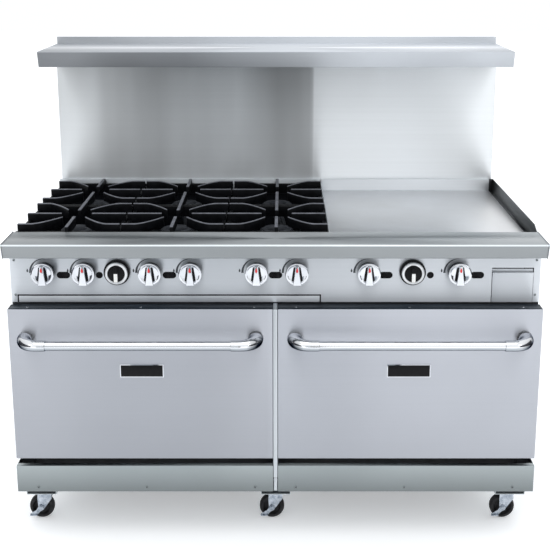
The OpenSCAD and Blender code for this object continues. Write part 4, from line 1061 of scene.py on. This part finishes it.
# ------------------------------------------------------------------ oven doors
# A folded stainless skin over an enamelled inner panel with a fibre seal, hinged along its bottom edge.
# Three screws hold the top edge of each.
seal_fibre = mottled("seal_fibre", 520, (0.3, (0.10, 0.10, 0.10)), (0.8, (0.24, 0.24, 0.23)), detail=3,
                     relief=(0.5, 0.001), Roughness=0.9)
# The top fold of each door is steel tinted near black: painted shade under the control panel.
steel_painted_shade = brushed("stainless_door_top_painted_shade", (0.022, 0.034, 0.049), 0.40)
# The door steel is painted darker towards the bottom, and a little darker on the left door: painted shade.
steel_door = brushed("stainless_door", (0.56, 0.58, 0.63), 0.40, dim=lambda s: (
    s.clamp((0.66 - s.along(2)) * 1.5) * 0.45 + s.clamp(s.along(0) * -40) * 0.16))
EDGE, SEAL_HALF, SEAL_WIDE = 0.0022, 0.3385, 0.012
for side in ("left", "right"):
    body = f"door_{side}"
    low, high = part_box(f"door_skin_{side}")
    skin = bmesh.new()
    add_block(skin, (low.x, low.y, low.z), (high.x, low.y + 0.0030, high.z), EDGE, 4)
    cap = bmesh.new()
    add_block(cap, (low.x, low.y + 0.0031, high.z - SHEET), (high.x, high.y, high.z), 0.0006)
    finish_piece(f"door_{side}_top_fold", cap, body, steel_painted_shade)
    for x in (low.x, high.x - SHEET):
        add_block(skin, (x, low.y + 0.001, low.z + 0.0005), (x + SHEET, high.y, high.z - 0.0005), 0.0006)
    slot_half, inset = 0.004, 0.027
    starts = [low.x, low.x + inset + slot_half, high.x - inset + slot_half]
    ends = [low.x + inset - slot_half, high.x - inset - slot_half, high.x]
    for x0, x1 in zip(starts, ends):
        add_block(skin, (x0, low.y + 0.001, low.z), (x1, high.y, low.z + SHEET), 0.0006)
    for x in (low.x + inset, high.x - inset):
        add_block(skin, (x - slot_half, low.y + 0.001, low.z),
                  (x + slot_half, low.y + 0.009, low.z + SHEET), 0.0005)
        for cheek in (-0.006, 0.006):
            add_block(skin, (x + cheek - 0.0015, low.y + 0.001, low.z + 0.001),
                      (x + cheek + 0.0015, low.y + 0.031, low.z + 0.032), 0.0006)
    finish_piece(f"door_{side}_casing", skin, body, steel_door, [f"door_skin_{side}"])

    liner_low, liner_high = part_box(f"door_liner_{side}")
    plate_y = (high.y + 0.0002, high.y + 0.0017)
    ring_low = Vector((middle_x(f"oven_liner_{side}") - SEAL_HALF, plate_y[1], 0.289))
    ring_high = Vector((middle_x(f"oven_liner_{side}") + SEAL_HALF, liner_high.y, 0.653))
    panel = bmesh.new()
    for x0, x1 in zip(starts, ends):
        add_block(panel, (x0 + 0.0005, plate_y[0], liner_low.z), (x1 - 0.0003, plate_y[1], low.z + 0.0352),
                  0.0005)
    add_block(panel, (liner_low.x, plate_y[0], low.z + 0.035), (liner_high.x, plate_y[1], liner_high.z),
              0.0006)
    add_block(panel, (ring_low.x + 0.030, plate_y[0], ring_low.z + 0.030),
              (ring_high.x - 0.030, plate_y[1] + 0.005, ring_high.z - 0.030), 0.0045, 4)
    finish_piece(f"door_{side}_inner_panel", panel, body, enamel, [f"door_liner_{side}"])
    seal = bmesh.new()
    for z0, z1 in ((ring_low.z, ring_low.z + SEAL_WIDE), (ring_high.z - SEAL_WIDE, ring_high.z)):
        add_block(seal, (ring_low.x, ring_low.y - 0.0003, z0), (ring_high.x, ring_high.y, z1), 0.004, 4)
    for x0, x1 in ((ring_low.x, ring_low.x + SEAL_WIDE), (ring_high.x - SEAL_WIDE, ring_high.x)):
        add_block(seal, (x0, ring_low.y - 0.0003, ring_low.z), (x1, ring_high.y, ring_high.z), 0.004, 4)
    finish_piece(f"door_{side}_seal", seal, body, seal_fibre)

    heads, slots = bmesh.new(), bmesh.new()
    spacing = (high.x - low.x) * 0.43
    for k in (-1, 0, 1):
        add_screw(heads, slots, (low.x + high.x) / 2 + k * spacing, low.y + 0.020, high.z - 0.0014, 0.0040,
                  up=True)
    finish_piece(f"door_{side}_screws", heads, body, chrome)
    finish_piece(f"door_{side}_screw_recesses", slots, body, painted_shade_black)


# ------------------------------------------------------------------ door handles
# A polished tube between two collars, with a cast elbow at each end that widens to a foot on the door.
# The tube is painted darker along its underside, and near black round the lower outer elbows: painted
# reflection.
BAR_R, COLLAR_R, BEND, FOOT_R = 0.013, 0.015, 0.048, 0.021
handle_chrome = Finish("handle_chrome", Metallic=1.0, Specular_Tint=(0.18, 0.20, 0.24, 1))
film = handle_chrome.noise((1, 1, 1), size=14, detail=4)
HANDLE_Z = (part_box("handle_left")[0].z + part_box("handle_left")[1].z) / 2
# Painted reflection: darker under the tube's axis, near black on the lower outer elbows.
under = handle_chrome.clamp((HANDLE_Z + 0.001 - handle_chrome.along(2)) * 260)
away = handle_chrome.node("ShaderNodeMath", {"operation": "ABSOLUTE"}, {0: handle_chrome.along(0)})
away = handle_chrome.node("ShaderNodeMath", {"operation": "ABSOLUTE"}, {0: away - middle_x("handle_right")})
lower = handle_chrome.clamp((HANDLE_Z + 0.017 - handle_chrome.along(2)) * 60)
outer = handle_chrome.clamp((away - 0.305) * 34) * lower
tube_colour = handle_chrome.mix(under * (film * 0.2 + 0.8), (0.86, 0.87, 0.89, 1), (0.36, 0.39, 0.42, 1))
handle_chrome = handle_chrome.feed(
    Base_Color=handle_chrome.mix(outer, tube_colour, (0.020, 0.026, 0.036, 1)),
    Roughness=handle_chrome.clamp(film * 0.08 + 0.06))


def add_elbow(mesh, sign, turn_x, bar_y, z):
    """A quarter bend that starts as a collar and widens towards its foot."""
    elbow = bmesh.new()
    ring = bmesh.ops.create_circle(elbow, cap_ends=False, radius=COLLAR_R, segments=40)["verts"]
    bmesh.ops.rotate(elbow, cent=(0, 0, 0), matrix=Matrix.Rotation(math.pi / 2, 3, "Y"), verts=ring)
    edges = list({e for v in ring for e in v.link_edges})
    bmesh.ops.spin(elbow, geom=ring + edges, cent=(0, BEND, 0), axis=(0, 0, 1), angle=math.pi / 2, steps=18,
                   use_merge=False, use_duplicate=False)
    for v in elbow.verts:
        angle = math.atan2(v.co.x, BEND - v.co.y)
        middle = Vector((BEND * math.sin(angle), BEND - BEND * math.cos(angle), 0))
        widen = 1 + 0.42 * (max(0.0, angle) / (math.pi / 2)) ** 1.3
        v.co = middle + (v.co - middle) * widen
    elbow.transform(Matrix.Translation((turn_x, bar_y, z)))
    if sign < 0:
        bmesh.ops.scale(elbow, vec=(-1, 1, 1), verts=elbow.verts)
    merge(mesh, elbow)


for side in ("left", "right"):
    low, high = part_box(f"handle_{side}")
    x, z = (low.x + high.x) / 2, (low.z + high.z) / 2
    bar_y = low.y + COLLAR_R
    foot_x = (high.x - low.x) / 2 - FOOT_R
    turn_x = foot_x - BEND
    bar = bmesh.new()
    bar_half = turn_x - 0.021
    profile = [(0, -bar_half - 0.01), (BAR_R - 0.0004, -bar_half - 0.01), (BAR_R - 0.0004, bar_half + 0.01),
               (0, bar_half + 0.01)]
    add_lathe(bar, profile, (0, bar_y, z), "X", 48)
    for sign in (-1, 1):
        a, b = bar_half * sign, turn_x * sign
        collar = [(BAR_R - 0.002, a), (COLLAR_R - 0.0006, a), (COLLAR_R, a + sign * 0.0007), (COLLAR_R, b)]
        add_lathe(bar, collar, (0, bar_y, z), "X", 48)
        add_elbow(bar, sign, turn_x, bar_y, z)
        foot_y = bar_y + BEND
        add_lathe(bar, [(FOOT_R, foot_y - high.y), (FOOT_R + 0.0003, -0.003), (FOOT_R + 0.001, -0.0022),
                        (FOOT_R + 0.001, 0), (0, 0)],
                  (foot_x * sign, high.y, z), "Y", 40)
    bar.transform(Matrix.Translation((x, 0, 0)))
    finish_piece(f"handle_{side}_tube", bar, f"door_{side}", handle_chrome, [f"handle_{side}"])


# ------------------------------------------------------------------ name plates
# A blank black enamel plate with a bright rim on each door.
# The field lies inside the pressed rim.
for side in ("left", "right"):
    low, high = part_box(f"nameplate_{side}")
    rim = bmesh.new()
    add_block(rim, low, high, 0.0006, 2)
    finish_piece(f"nameplate_{side}_rim", rim, f"door_{side}", chrome, [f"nameplate_{side}"])
    field = bmesh.new()
    add_block(field, (low.x + 0.0026, low.y - 0.0004, low.z + 0.0026),
              (high.x - 0.0026, high.y - 0.0005, high.z - 0.0026), 0.0003)
    finish_piece(f"nameplate_{side}_field", field, f"door_{side}", black_moulding)
